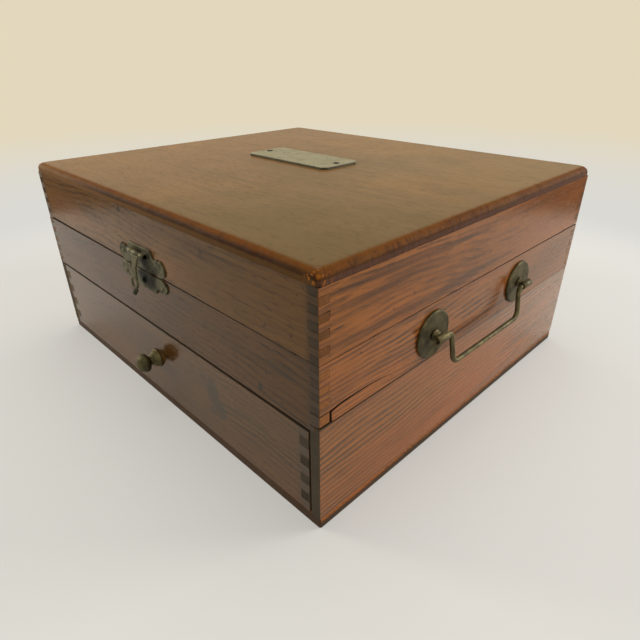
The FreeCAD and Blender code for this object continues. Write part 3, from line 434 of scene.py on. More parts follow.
def lid_board_wood(name, node, seed):
    """Make the lid board: dull mottled face, rubbed round, painted shade beneath it and in a lower band,
    scratches and chips.
    """
    _, colours = settings()
    low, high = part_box(node)
    mid, dark, worn, burnt, purple, front = (linear(getattr(colours, tone)) for tone in (
        "lid_mid", "lid_dark", "worn", "burnt", "purple", "lid_front"))
    deep = shade(dark, 0.35)
    olive = tinted(mid, 0.51, 0.59, 0.56)
    paint = Finish(name, mid)
    fibre = paint.noise((70.0, 1300.0, 1300.0), seed, 2.0)
    streaks = paint.noise((9.0, 150.0, 150.0), seed + 1.0, 4.0, 0.6)
    broad = paint.noise((6.0, 9.0, 9.0), seed + 2.0)
    cloud = paint.noise((34.0, 44.0, 34.0), seed + 3.0, 4.0, 0.62)
    pore = paint.spots((140.0, 1500.0, 1500.0), seed + 4.0, 0.57, 0.67, 1.0)
    rubbing = paint.noise((3.5, 4.5, 3.5), seed + 2.6, 3.0, 0.6)
    paint.lay(paint.step(streaks, 0.40, 0.72) * 0.60, dark)
    paint.lay(paint.step(fibre, 0.46, 0.74) * 0.50, dark)
    paint.lay(paint.step(broad, 0.42, 0.66) * 0.55, dark)
    paint.lay((1.0 - paint.step(broad, 0.34, 0.52)) * 0.5, tinted(mid, 1.12, 0.92, 0.74))
    paint.lay(paint.step(rubbing, 0.40, 0.62) * 0.50, olive)
    paint.lay(paint.step(cloud, 0.48, 0.64) * 0.55, olive)
    # Greyer and bluer toward the back right: a painted reflection haze.
    painted_haze_tint = paint.step(paint.at[X] + paint.at[Y], -0.05, 0.25)
    paint.lay(painted_haze_tint * 0.55, tinted(mid, 0.80, 0.96, 1.15))
    ruddy = 1.0 - paint.step(paint.at[X], -0.12, 0.06)
    paint.lay(ruddy * 0.45, tinted(mid, 1.10, 0.96, 0.98))
    # Olive darkening toward the near right corner: partly handling wear, partly painted shade where the
    # varnish shows less reflection.
    handled_and_shaded = paint.step((paint.at[X] - paint.at[Y]) + (rubbing - 0.5) * 0.25, 0.02, 0.30)
    paint.lay(handled_and_shaded * 0.95, olive)
    paint.lay(pore * 0.32, deep)
    scratch = paint.spots((26.0, 330.0, 10.0), seed + 5.0, 0.735, 0.76, 1.0, 0.5, 0.6)
    paint.lay(scratch * 0.55, deep)
    speck = paint.spots(230.0, seed + 6.0, 0.755, 0.775, 1.0)
    paint.lay(speck * 0.7, deep)
    ends = paint.step(abs(paint.facing[X]), 0.30, 0.75)
    tilt = paint.facing[Z]
    near = edge_distance(paint, low, high)
    ragged = paint.noise(190.0, seed + 7.0, 4.0, 0.7) - 0.5
    mottle = paint.noise((170.0, 70.0, 170.0), seed + 8.0, 4.0, 0.7)
    wear = paint.spots(26.0, seed + 10.0, 0.30, 0.62)
    dashes = paint.spots((260.0, 1300.0, 160.0), seed + 9.0, 0.50, 0.62, 1.0)
    rubbed = paint.mix(paint.step(mottle, 0.42, 0.70) * 0.5, worn, burnt)
    rubbed = paint.mix(dashes * ends * 0.8, rubbed, burnt)
    # The round's downward-facing half gets painted shade: dark brown, turning to the lid front's own colour
    # at the left end.
    shaded_underside = 1.0 - paint.step(tilt + ragged * 0.2 + ends * 0.35, 0.35, 0.85)
    under = paint.mix(paint.step(paint.at[X], -0.13, -0.02), front, shade(burnt, 0.5))
    rubbed = paint.mix(shaded_underside * 0.95, rubbed, under)
    on_round = 1.0 - paint.step(tilt + ragged * 0.06, 0.90, 0.995)
    rim = 1.0 - paint.step(near + ragged * 0.004, 0.0040, 0.0072)
    paint.lay(rim * (0.10 + wear * 0.25), worn)
    # The round's rubbed colours and its painted shade weaken toward the left end: painted light falling from
    # the left.
    bare = 0.30 + paint.step(paint.at[X], -0.15, -0.04) * 0.70
    paint.lay(on_round * (0.80 + wear * 0.20) * bare, rubbed)
    band = 1.0 - paint.step(paint.at[Z] - low[Z] + ragged * 0.0012, 0.0020, 0.0032)
    # The lower band on the board's ends is painted shade under the round.
    paint.lay(band * ends, paint.mix(dashes * 0.5, purple, shade(purple, 0.45)))
    # Below the round on the front and back faces: a band of painted shade in the lid front's colour, darker
    # toward the right.
    flush_shade = paint.mix(paint.step(paint.at[X], -0.10, 0.14), shade(front, 0.95), shade(front, 0.55))
    paint.lay(band * (1.0 - ends) * 0.9, flush_shade)
    corner = edge_distance(paint, low, high, (X, Y))
    chip = paint.spots(520.0, seed + 12.0, 0.56, 0.62)
    paint.lay(chip * on_round * (1.0 - paint.step(corner, 0.004, 0.010)), shade(worn, 1.9))
    height = fibre * 0.3 - pore * 0.45 - scratch * 0.7 - speck
    height = height - dashes * on_round * 0.5 + mottle * on_round * 0.6
    rough = 0.36 + cloud * 0.16 + pore * 0.1
    return paint.finish(Roughness=rough + on_round * 0.2, Specular__IOR__Level=0.08, Coat__Roughness=0.2,
                        Coat__Weight=(1.0 - on_round) * 0.28, Normal=paint.bump(height, 0.28, 0.0003))


def aged_metal(name, face, film, seed, film_amount=0.75, metallic=0.9, rough_base=0.42, lathe=False, rim=0.0,
               shadow_spots=()):
    """Make an aged fitting: rubbed face, dark film in clouds, pale spots and pits.

    Lathe adds turning rings, rim lays painted shade on the sides of a level plate, and the spot list lays
    painted shadow.
    """
    light, dull = linear(face), linear(film)
    paint = Finish(name, light)
    cloud = paint.noise(170.0, seed, 5.0, 0.65)
    blotch = paint.noise(60.0, seed + 2.0)
    pits = paint.spots(900.0, seed + 3.0, 0.60, 0.72, 2.0)
    paint.lay(paint.step(cloud + blotch * 0.5, 0.62, 0.92) * film_amount, dull)
    paint.lay(paint.spots(320.0, seed + 4.0, 0.56, 0.74) * 0.5, tinted(light, 1.7, 1.65, 1.5))
    paint.lay(pits * 0.6, dull)
    # Painted shade on the sides of a level plate.
    if rim:
        paint.lay((1.0 - paint.step(paint.facing[Z], 0.35, 0.9)) * rim, dull)
    # Spots of painted shadow, such as the hasp casts on the latch plates.
    soft_spots(paint, shadow_spots, X, cloud, 0.35, shade(dull, 0.25))
    height = cloud * 0.5 - pits
    if lathe:
        radius = Value(paint, paint.node("ShaderNodeAttribute", {"attribute_name": "lathe"}).outputs["Fac"])
        turning = paint.noise_along(radius * 3300.0, seed)
        paint.lay(paint.step(turning, 0.45, 0.7) * 0.5, dull)
        height = height + turning * 0.8
    return paint.finish(Metallic=metallic, Roughness=rough_base + cloud * 0.25 + pits * 0.15,
                        Normal=paint.bump(height, 0.30, 0.00025))


def dress(node, material):
    """Give one solid its finish."""
    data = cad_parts[node].data
    data.materials.clear()
    data.materials.append(material)


def felt_cloth(name, seed):
    """Make napped felt: short crossed fibres, lint and rubbed patches."""
    _, colours = settings()
    base = linear(colours.felt)
    paint = Finish(name, base)
    fuzz = paint.noise(1500.0, seed, 3.0, 0.7)
    hairs = paint.noise((500.0, 2600.0, 900.0), seed + 1.0, 2.0, 0.6, 1.5)
    pale = tuple(min(1.0, value * 1.9 + 0.01) for value in base[:3]) + (1.0,)
    paint.lay(paint.step(fuzz, 0.40, 0.70) * 0.6, shade(base, 0.45))
    paint.lay(paint.step(hairs, 0.52, 0.72) * 0.4, pale)
    paint.lay(paint.spots(26.0, seed + 2.0, 0.46, 0.72) * 0.35, pale)
    return paint.finish(Roughness=0.95, Normal=paint.bump(fuzz + hairs * 0.7, 0.6, 0.0004),
                        Sheen__Weight=0.25)


def plain_stage(name, tone, backdrop):
    """Make the pale paper that the case stands on, with a dim room past its rim.

    The camera sees it lit up and fading into the backdrop; the varnish shows the paper's rim.
    """
    paint = Finish(name, tinted((tone, tone, tone), 0.985, 0.975, 0.925))
    drift = paint.noise(3.0, 4.0, 2.0)
    paint.lay(drift * 0.10, tinted((tone, tone, tone), 0.9, 0.93, 0.93))
    distance = (paint.at[X] ** 2.0 + paint.at[Y] ** 2.0) ** 0.5
    seen = Value(paint, paint.node("ShaderNodeLightPath").outputs["Is Camera Ray"])
    lit = (0.4 + paint.step(distance, 0.34, 0.54) * 0.6) * seen
    paint.lay(paint.step(distance + (drift - 0.5) * 0.05, *PAPER_RIM), (0.11, 0.10, 0.09, 1.0))
    paint.lay(lit, BLACK)
    glow = paint.mix(paint.step(distance, 0.35, 1.6), (0.695, 0.695, 0.67, 1.0), backdrop)
    return paint.finish(Roughness=0.85, Emission__Strength=1.0, Emission__Color=paint.mix(lit, BLACK, glow),
                        Specular__IOR__Level=0.0)


# Surfaces as whole arrays


def wander(distance, seed, height, wavelength, count=7):
    """Give a smooth uneven line: a sum of sines of falling height and seeded phase."""
    chance = np.random.default_rng(seed)
    order = np.arange(1, count + 1)
    phase = chance.uniform(0.0, 2.0 * np.pi, count)
    weight = chance.uniform(0.5, 1.0, count) / np.sqrt(order)
    angle = 2.0 * np.pi * distance[:, None] * order / (wavelength * 2.0) + phase
    return height * (np.sin(angle) * weight).sum(axis=1) / weight.sum()


def nicks(distance, total, seed, count, depth, width):
    """Give dents along a closed line: seeded bell curves of different depth and width."""
    chance = np.random.default_rng(seed)
    centre = chance.uniform(0.0, total, count)
    deep = depth * chance.uniform(0.25, 1.0, count)
    wide = width * chance.uniform(0.4, 1.0, count)
    gap = np.abs(distance[:, None] - centre)
    gap = np.minimum(gap, total - gap)
    return (deep * np.exp(-((gap / wide) ** 2))).sum(axis=1)


def courses_outline(courses):
    """Give the outline of a board made of level courses (low, high, left, right), anticlockwise."""
    table = np.array(courses, float)
    right = np.stack([np.repeat(table[:, 3], 2), table[:, :2].ravel()], axis=1)
    left = np.stack([np.repeat(table[:, 2], 2), table[:, :2].ravel()], axis=1)[::-1]
    return tidy_outline(np.concatenate([right, left]))


def tidy_outline(points):
    """Drop points that repeat or lie on a straight run."""
    points = points[np.linalg.norm(points - np.roll(points, 1, axis=0), axis=1) > 1e-7]
    back = points - np.roll(points, 1, axis=0)
    ahead = np.roll(points, -1, axis=0) - points
    turn = np.abs(back[:, 0] * ahead[:, 1] - back[:, 1] * ahead[:, 0])
    return points[turn > 1e-12]


def eased(rings, corner, radius, arc):
    """Round the marked corners of rings of flat points.

    A corner gives way to the quadratic curve that leaves its two edges at the radius and has the
    corner as its control; all corners of all rings come at once as whole arrays.
    """
    back = np.roll(rings, 1, axis=1) - rings
    ahead = np.roll(rings, -1, axis=1) - rings
    back_length = np.linalg.norm(back, axis=2, keepdims=True)
    ahead_length = np.linalg.norm(ahead, axis=2, keepdims=True)
    reach = np.minimum(radius, 0.92 * np.minimum(back_length, ahead_length)) * corner[None, :, None]
    start = rings + back / back_length * reach
    end = rings + ahead / ahead_length * reach
    count = np.where(corner, arc + 1, 1)
    pick = np.repeat(np.arange(len(corner)), count)
    within = np.arange(count.sum()) - np.repeat(np.cumsum(count) - count, count)
    t = (within / arc)[None, :, None]
    return (1 - t) ** 2 * start[:, pick] + 2 * t * (1 - t) * rings[:, pick] + t ** 2 * end[:, pick]


def eased_outline(corners, radius, spacing, arc=4):
    """Give one closed line with rounded corners and divided runs."""
    return board_rings(corners, np.array([[0.0, 0.0]]), radius, spacing, None, arc)[0, :, :2]


def worn_line(distance, total, seed, wave, wavelength, count, depth, width):
    """Give how much is worn off along a closed line: a slow wandering loss and seeded dents."""
    slow = np.abs(wander(distance, seed, wave, wavelength))
    return slow + nicks(distance, total, seed + 1, count, depth, width)


def board_rings(corners, profile, radius, spacing, wear=None, arc=4):
    """Carry an edge profile round a cornered outline: rings of points (across, up, through).

    Each pair of the profile moves the corners inward by its inset along their mitres and lifts them
    to its height; the runs between are divided, worn by the wear's settings and the corners rounded.
    """
    mitre = inward(corners)
    shape = corners[None] + profile[:, :1, None] * mitre[None]
    ahead = np.roll(shape, -1, axis=1) - shape
    run = np.linalg.norm(ahead, axis=2)
    count = np.maximum(1, np.round(run[0] / spacing)).astype(int)
    each = count + 2
    pick = np.repeat(np.arange(len(corners)), each)
    within = np.arange(each.sum()) - np.repeat(np.cumsum(each) - each, each)
    corner = within == 0
    margin = np.minimum(radius * 1.1, 0.3 * run)[:, pick]
    length = run[:, pick]
    share = (margin + (length - 2.0 * margin) * (within - 1) / count[pick]) / length
    share = np.where(corner, 0.0, share)
    points = shape[:, pick] + ahead[:, pick] * share[..., None]
    if wear is not None:
        first = ahead[0] / run[0][:, None]
        square = np.stack([-first[:, 1], first[:, 0]], axis=1)[pick]
        way = np.where(corner[:, None], mitre[pick], square)
        distance = (np.cumsum(run[0]) - run[0])[pick] + share[0] * run[0][pick]
        loss = worn_line(distance, run[0].sum(), **wear)
        rise = profile[:, 1] / profile[-1, 1]
        points = points + rise[:, None, None] * loss[None, :, None] * way[None]
    flat = eased(points, corner, radius, arc)
    height = np.repeat(profile[:, 1][:, None], flat.shape[1], axis=1)
    return np.concatenate([flat, height[..., None]], axis=2)


def inward(points):
    """Give the inward normal at each point of an anticlockwise outline, lengthened at corners."""
    ahead = np.roll(points, -1, axis=0) - points
    ahead /= np.linalg.norm(ahead, axis=1)[:, None]
    normal = np.stack([-ahead[:, 1], ahead[:, 0]], axis=1)
    before = np.roll(normal, 1, axis=0)
    total = normal + before
    scale = 1.0 + (normal * before).sum(axis=1)
    return total / np.maximum(scale, 0.4)[:, None]


def rounded_profile(depth, low_round, high_round, steps=4):
    """Give (inset, height) pairs of a board's edge: a quarter round, a straight rise, a quarter round."""
    angle = np.linspace(0.0, np.pi / 2.0, steps + 1)
    lower = np.stack([low_round * (1 - np.sin(angle)), low_round * (1 - np.cos(angle))], axis=1)
    upper = np.stack([high_round * (1 - np.cos(angle)), depth - high_round + high_round * np.sin(angle)],
                     axis=1)
    return np.concatenate([lower, upper])


def slab(outline, profile):
    """Carry an edge profile round a smooth outline: rings of points (across, up, through)."""
    flat = outline[None] + profile[:, :1, None] * inward(outline)[None]
    height = np.repeat(profile[:, 1][:, None], len(outline), axis=1)
    return np.concatenate([flat, height[..., None]], axis=2)


def stand(rings, through, origin):
    """Stand a slab in the frame: its third number runs along an axis, the other two along the rest."""
    placed = np.empty_like(rings)
    placed[..., [axis for axis in (X, Y, Z) if axis != through] + [through]] = rings
    return placed + np.array(origin, float)


def lathed(profile, around):
    """Turn (radius, along) pairs about an axis: rings of points (side, up, along)."""
    angle = np.linspace(0.0, 2.0 * np.pi, around, endpoint=False)
    circle = np.stack([np.cos(angle), np.sin(angle)], axis=1)
    flat = profile[:, 0][:, None, None] * circle[None]
    along = np.repeat(profile[:, 1][:, None], around, axis=1)
    return np.concatenate([flat, along[..., None]], axis=2)


def turned(profile, axis, origin, around=64, way=1.0):
    """Turn (radius, along) pairs about an axis through a point; a way of -1 runs against the axis."""
    return stand(lathed(profile * np.array([1.0, way]), around), axis, origin)


def barrel(bore, radius, length, ease=0.3 * MM):
    """Give the (radius, along) pairs of a barrel with eased ends."""
    return np.array([[bore, 0.0], [radius - ease, 0.0], [radius, ease], [radius, length - ease],
                     [radius - ease, length], [bore, length]])


def rectangle(low, high):
    """Give a rectangle's corners, anticlockwise, from the first two numbers of its low and high ones."""
    return np.array([[low[0], low[1]], [high[0], low[1]], [high[0], high[1]], [low[0], high[1]]])


def swept(path, radius, around=18):
    """Carry a circle along a path in an upright or slightly tilted plane: rings square to the path's run."""
    path = np.array(path, float)
    run = np.gradient(path, axis=0)
    run /= np.linalg.norm(run, axis=1)[:, None]
    side = np.array([1.0, 0.0, 0.0])
    up = np.cross(run, side)
    up /= np.linalg.norm(up, axis=1)[:, None]
    side = np.cross(up, run)
    angle = np.linspace(0.0, 2.0 * np.pi, around, endpoint=False)
    ring = np.cos(angle)[None, :, None] * side[:, None] + np.sin(angle)[None, :, None] * up[:, None]
    return path[:, None] + np.asarray(radius, float).reshape(-1, 1, 1) * ring


def smooth_closed(points, count):
    """Draw a smooth closed curve through points by a cubic spline, as one array.

    Each stretch passes its two points in the direction from the point before to the point after.
    """
    points = np.array(points, float)
    number = len(points)
    at = np.linspace(0.0, number, count, endpoint=False)
    index = np.floor(at).astype(int)
    t = (at - index)[:, None]
    p0, p1, p2, p3 = (points[(index + shift) % number] for shift in (-1, 0, 1, 2))
    return 0.5 * (2 * p1 + (p2 - p0) * t + (2 * p0 - 5 * p1 + 4 * p2 - p3) * t ** 2
                  + (3 * p1 - p0 - 3 * p2 + p3) * t ** 3)


class Shell:
    """Rings of points joined by quads, with closed ends or ends joined to each other."""

    def __init__(self):
        self.points = []
        self.faces = []
        self.smooth = []
        self.marks = []
        self.count = 0

    def add(self, rings, joined=False, marks=None):
        """Add one closed shell of rings; joined makes the last ring meet the first."""
        rows, columns = rings.shape[:2]
        index = np.arange(rows * columns).reshape(rows, columns) + self.count
        lower = index if joined else index[:-1]
        upper = np.roll(index, -1, axis=0) if joined else index[1:]
        quads = np.stack([lower, np.roll(lower, -1, axis=1), np.roll(upper, -1, axis=1), upper], axis=-1)
        self.faces += quads.reshape(-1, 4).tolist()
        self.smooth += [True] * quads[..., 0].size
        if not joined:
            self.faces += [index[0][::-1].tolist(), index[-1].tolist()]
            self.smooth += [False, False]
        self.points.append(rings.reshape(-1, 3))
        self.marks.append(np.zeros(rows * columns) if marks is None else marks.ravel())
        self.count += rows * columns
        return self

    def piece(self, name, material, body, slot, nodes=()):
        """Make the object, let it ride on its body and stand for its nodes."""
        mesh = bpy.data.meshes.new(name)
        mesh.from_pydata(np.concatenate(self.points).tolist(), [], self.faces)
        mesh.polygons.foreach_set("use_smooth", self.smooth)
        marks = mesh.attributes.new("lathe", "FLOAT", "POINT")
        marks.data.foreach_set("value", np.concatenate(self.marks).astype(np.float32))
        work = bmesh.new()
        work.from_mesh(mesh)
        bmesh.ops.recalc_face_normals(work, faces=work.faces)
        work.to_mesh(mesh)
        work.free()
        mesh.materials.append(material)
        made = bpy.data.objects.new(name, mesh)
        bpy.context.scene.collection.objects.link(made)
        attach(made, body)
        if nodes:
            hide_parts(*nodes)
        return made


def node_box(node):
    """Give a node's low and high corners as arrays."""
    low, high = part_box(node)
    return np.array(low, float), np.array(high, float)


def finger_courses(low, high, along, depth, fingers, first, far_plain=False):
    """Give the courses of a finger-jointed board: every second one runs the whole length."""
    edges = np.linspace(low[Z], high[Z], fingers + 1)
    whole = (np.arange(fingers) % 2) == first
    left = np.where(whole, low[along], low[along] + depth)
    right = np.where(whole | far_plain, high[along], high[along] - depth)
    return np.stack([edges[:-1], edges[1:], left, right], axis=1)


def board_piece(name, node, through, courses, material, body, slot, seed, edge=None, outer_high=True,
                spacing=4.0 * MM, corner=None, worn=1.0, settle=(0.0, 0.0), sunk=(0.0, 0.0)):
    """Make one board from its courses, with eased arrises that wander a little.

    The settle lowers the two corners of its lower edge, where the board has sunk against the one
    below; sunk lowers those of its upper edge.
    """
    sizes, _ = settings()
    low, high = node_box(node)
    edge = sizes.edge_round if edge is None else edge
    corner = sizes.finger_corner if corner is None else corner
    corners = courses_outline(courses)
    foot = np.isclose(corners[:, 1], corners[:, 1].min())
    side = np.where(corners[:, 0] < corners[:, 0].mean(), settle[0], settle[1])
    head = np.isclose(corners[:, 1], corners[:, 1].max())
    lowered = np.where(corners[:, 0] < corners[:, 0].mean(), sunk[0], sunk[1])
    corners[:, 1] -= np.where(foot, side, 0.0) + np.where(head, lowered, 0.0)
    wear = dict(seed=seed, wave=sizes.edge_wander * worn, wavelength=60 * MM, count=14,
                depth=0.25 * MM * worn, width=2.0 * MM)
    depth = high[through] - low[through]
    rings = board_rings(corners, rounded_profile(depth, edge * 0.7, edge), corner, spacing, wear)
    if not outer_high:
        rings[..., 2] = depth - rings[..., 2]
    origin = np.zeros(3)
    origin[through] = low[through]
    return Shell().add(stand(rings, through, origin)).piece(name, material, body, slot, [node])


def plain_courses(node, through):
    """Give the one course of a plain rectangular board."""
    low, high = node_box(node)
    side, up = [axis for axis in (X, Y, Z) if axis != through]
    return np.array([[low[up], high[up], low[side], high[side]]])


class CASE_OT_stage(bpy.types.Operator):
    """Set the pale floor, the soft lamps and the camera of the photograph's view"""

    bl_idname = "case.stage"
    bl_label = "Stage"

    def execute(self, context):
        scene = context.scene
        mesh = bpy.data.meshes.new("floor")
        rim = rectangle((-FLOOR_HALF, -FLOOR_HALF), (FLOOR_HALF, FLOOR_HALF))
        mesh.from_pydata([(*corner, 0.0) for corner in rim.tolist()], [], [[0, 1, 2, 3]])
        backdrop = linear(BACKDROP)
        mesh.materials.append(plain_stage("floor_paper", PAPER_TONE, backdrop))
        floor = bpy.data.objects.new("floor", mesh)
        scene.collection.objects.link(floor)
        scene.world = self.studio(backdrop)
        for lamp in LAMPS:
            self.lamp(scene, *lamp)
        camera = bpy.data.cameras.new("camera")
        camera.sensor_fit = "HORIZONTAL"
        camera.sensor_width = SENSOR_WIDTH
        camera.lens = CAMERA_LENS
        camera.clip_start = 0.01
        view = bpy.data.objects.new("camera", camera)
        scene.collection.objects.link(view)
        right, forward = Vector(CAMERA_RIGHT), Vector(CAMERA_FORWARD).normalized()
        up = right.cross(forward)
        level = right * np.cos(CAMERA_ROLL) + up * np.sin(CAMERA_ROLL)
        rise = up * np.cos(CAMERA_ROLL) - right * np.sin(CAMERA_ROLL)
        turn = Matrix((level, rise, -forward)).transposed().to_4x4()
        view.matrix_world = Matrix.Translation(CAMERA_PLACE) @ turn
        scene.camera = view
        scene.view_settings.view_transform = "Standard"
        return {"FINISHED"}

    def studio(self, backdrop):
        """Make the world: dim even light, and the plain backdrop where the camera or a reflection sees it."""
        world = bpy.data.worlds.new("studio")
        world.use_nodes = True
        nodes, links = world.node_tree.nodes, world.node_tree.links
        dim = nodes["Background"]
        dim.inputs["Color"].default_value = ROOM_LIGHT
        dim.inputs["Strength"].default_value = ROOM_STRENGTH
        plain = nodes.new("ShaderNodeBackground")
        plain.inputs["Color"].default_value = backdrop
        path = nodes.new("ShaderNodeLightPath")
        shown = path.outputs["Is Camera Ray"]
        for ray in ("Is Glossy Ray", "Is Transmission Ray"):
            either = nodes.new("ShaderNodeMath")
            either.operation = "MAXIMUM"
            links.new(shown, either.inputs[0])
            links.new(path.outputs[ray], either.inputs[1])
            shown = either.outputs[0]
        blend = nodes.new("ShaderNodeMixShader")
        links.new(shown, blend.inputs[0])
        links.new(dim.outputs[0], blend.inputs[1])
        links.new(plain.outputs[0], blend.inputs[2])
        links.new(blend.outputs[0], nodes["World Output"].inputs["Surface"])
        return world

    def lamp(self, scene, name, place, size, power, tint):
        """Hang one soft square lamp that faces the middle of the case."""
        data = bpy.data.lights.new(name, "AREA")
        data.size = size
        data.energy = power
        data.color = tint
        lamp = bpy.data.objects.new(name, data)
        lamp.location = place
        aim = Vector(LAMP_AIM) - Vector(place)
        lamp.rotation_euler = aim.to_track_quat("-Z", "Y").to_euler()
        scene.collection.objects.link(lamp)


class CASE_OT_lid_boards(bpy.types.Operator):
    """Make the lid's top board with its rubbed round and its four jointed walls"""

    bl_idname = "case.lid_boards"
    bl_label = "Lid boards"

    def execute(self, context):
        sizes, colours = settings()
        low, high = node_box("lid_top_panel")
        wear = dict(seed=3, wave=0.25 * MM, wavelength=45 * MM, count=150, depth=0.45 * MM, width=1.6 * MM)
        profile = rounded_profile(high[Z] - low[Z], 0.15 * MM, sizes.lid_round, 9)
        rings = board_rings(rectangle(low, high), profile, sizes.lid_corner, 1.6 * MM, wear, 10)
        shell = Shell().add(stand(rings, Z, (0.0, 0.0, low[Z])))
        shell.piece("lid_board", lid_board_wood("lid_board_wood", "lid_top_panel", 2.0), "lid", "lid_wood",
                    ["lid_top_panel"])
        wall = node_box("case_right_wall")
        depth = wall[1][X] - wall[0][X]
        for side, outer_high in (("front", False), ("back", True)):
            node = "lid_" + side + "_wall"
            wood = varnished_wood(node + "_wood", node, X, colours.lid_front, colours.front_dark, 11.0,
                                  FRONT_LINES, 0.5, streak=0.2,
                                  end_tone=colours.side_mid if outer_high else colours.finger,
                                  end_amount=0.85, end_rough=0.1 if outer_high else 0.8, gloss=0.07,
                                  sheen=0.22, gap_shade=0.55, grime=0.65, stains_and_shade=LID_FRONT_STAINS_AND_SHADE)
            courses = finger_courses(*node_box(node), X, depth, FINGERS, 1)
            board_piece("lid_" + side + "_board", node, Y, courses, wood, "lid", "lid_wood", 21,
                        outer_high=outer_high,
                        settle=(-4.0 * sizes.lid_settle, sizes.lid_settle) if side == "front" else (0.0, 0.0))
        for side, outer_high in (("left", False), ("right", True)):
            node = "lid_" + side + "_wall"
            # On the left wall the cut ends take a pale tone of painted reflection haze.
            wood = varnished_wood(node + "_wood", node, Y, colours.side_mid, colours.side_dark, 15.0,
                                  line_strength=1.0, streak=0.85, fade=0.75, end_amount=0.95, end_rough=0.4,
                                  end_tone=None if side == "right" else colours.dusty, gap_shade=0.85, grime=0.10,
                                  gloss=0.10, sheen=0.36)
            courses = finger_courses(*node_box(node), Y, depth, FINGERS, 0)
            board_piece("lid_" + side + "_board", node, X, courses, wood, "lid", "lid_wood", 31,
                        outer_high=outer_high,
                        settle=(sizes.lid_settle, -sizes.lid_settle) if side == "right" else (0.0, 0.0))
        return {"FINISHED"}


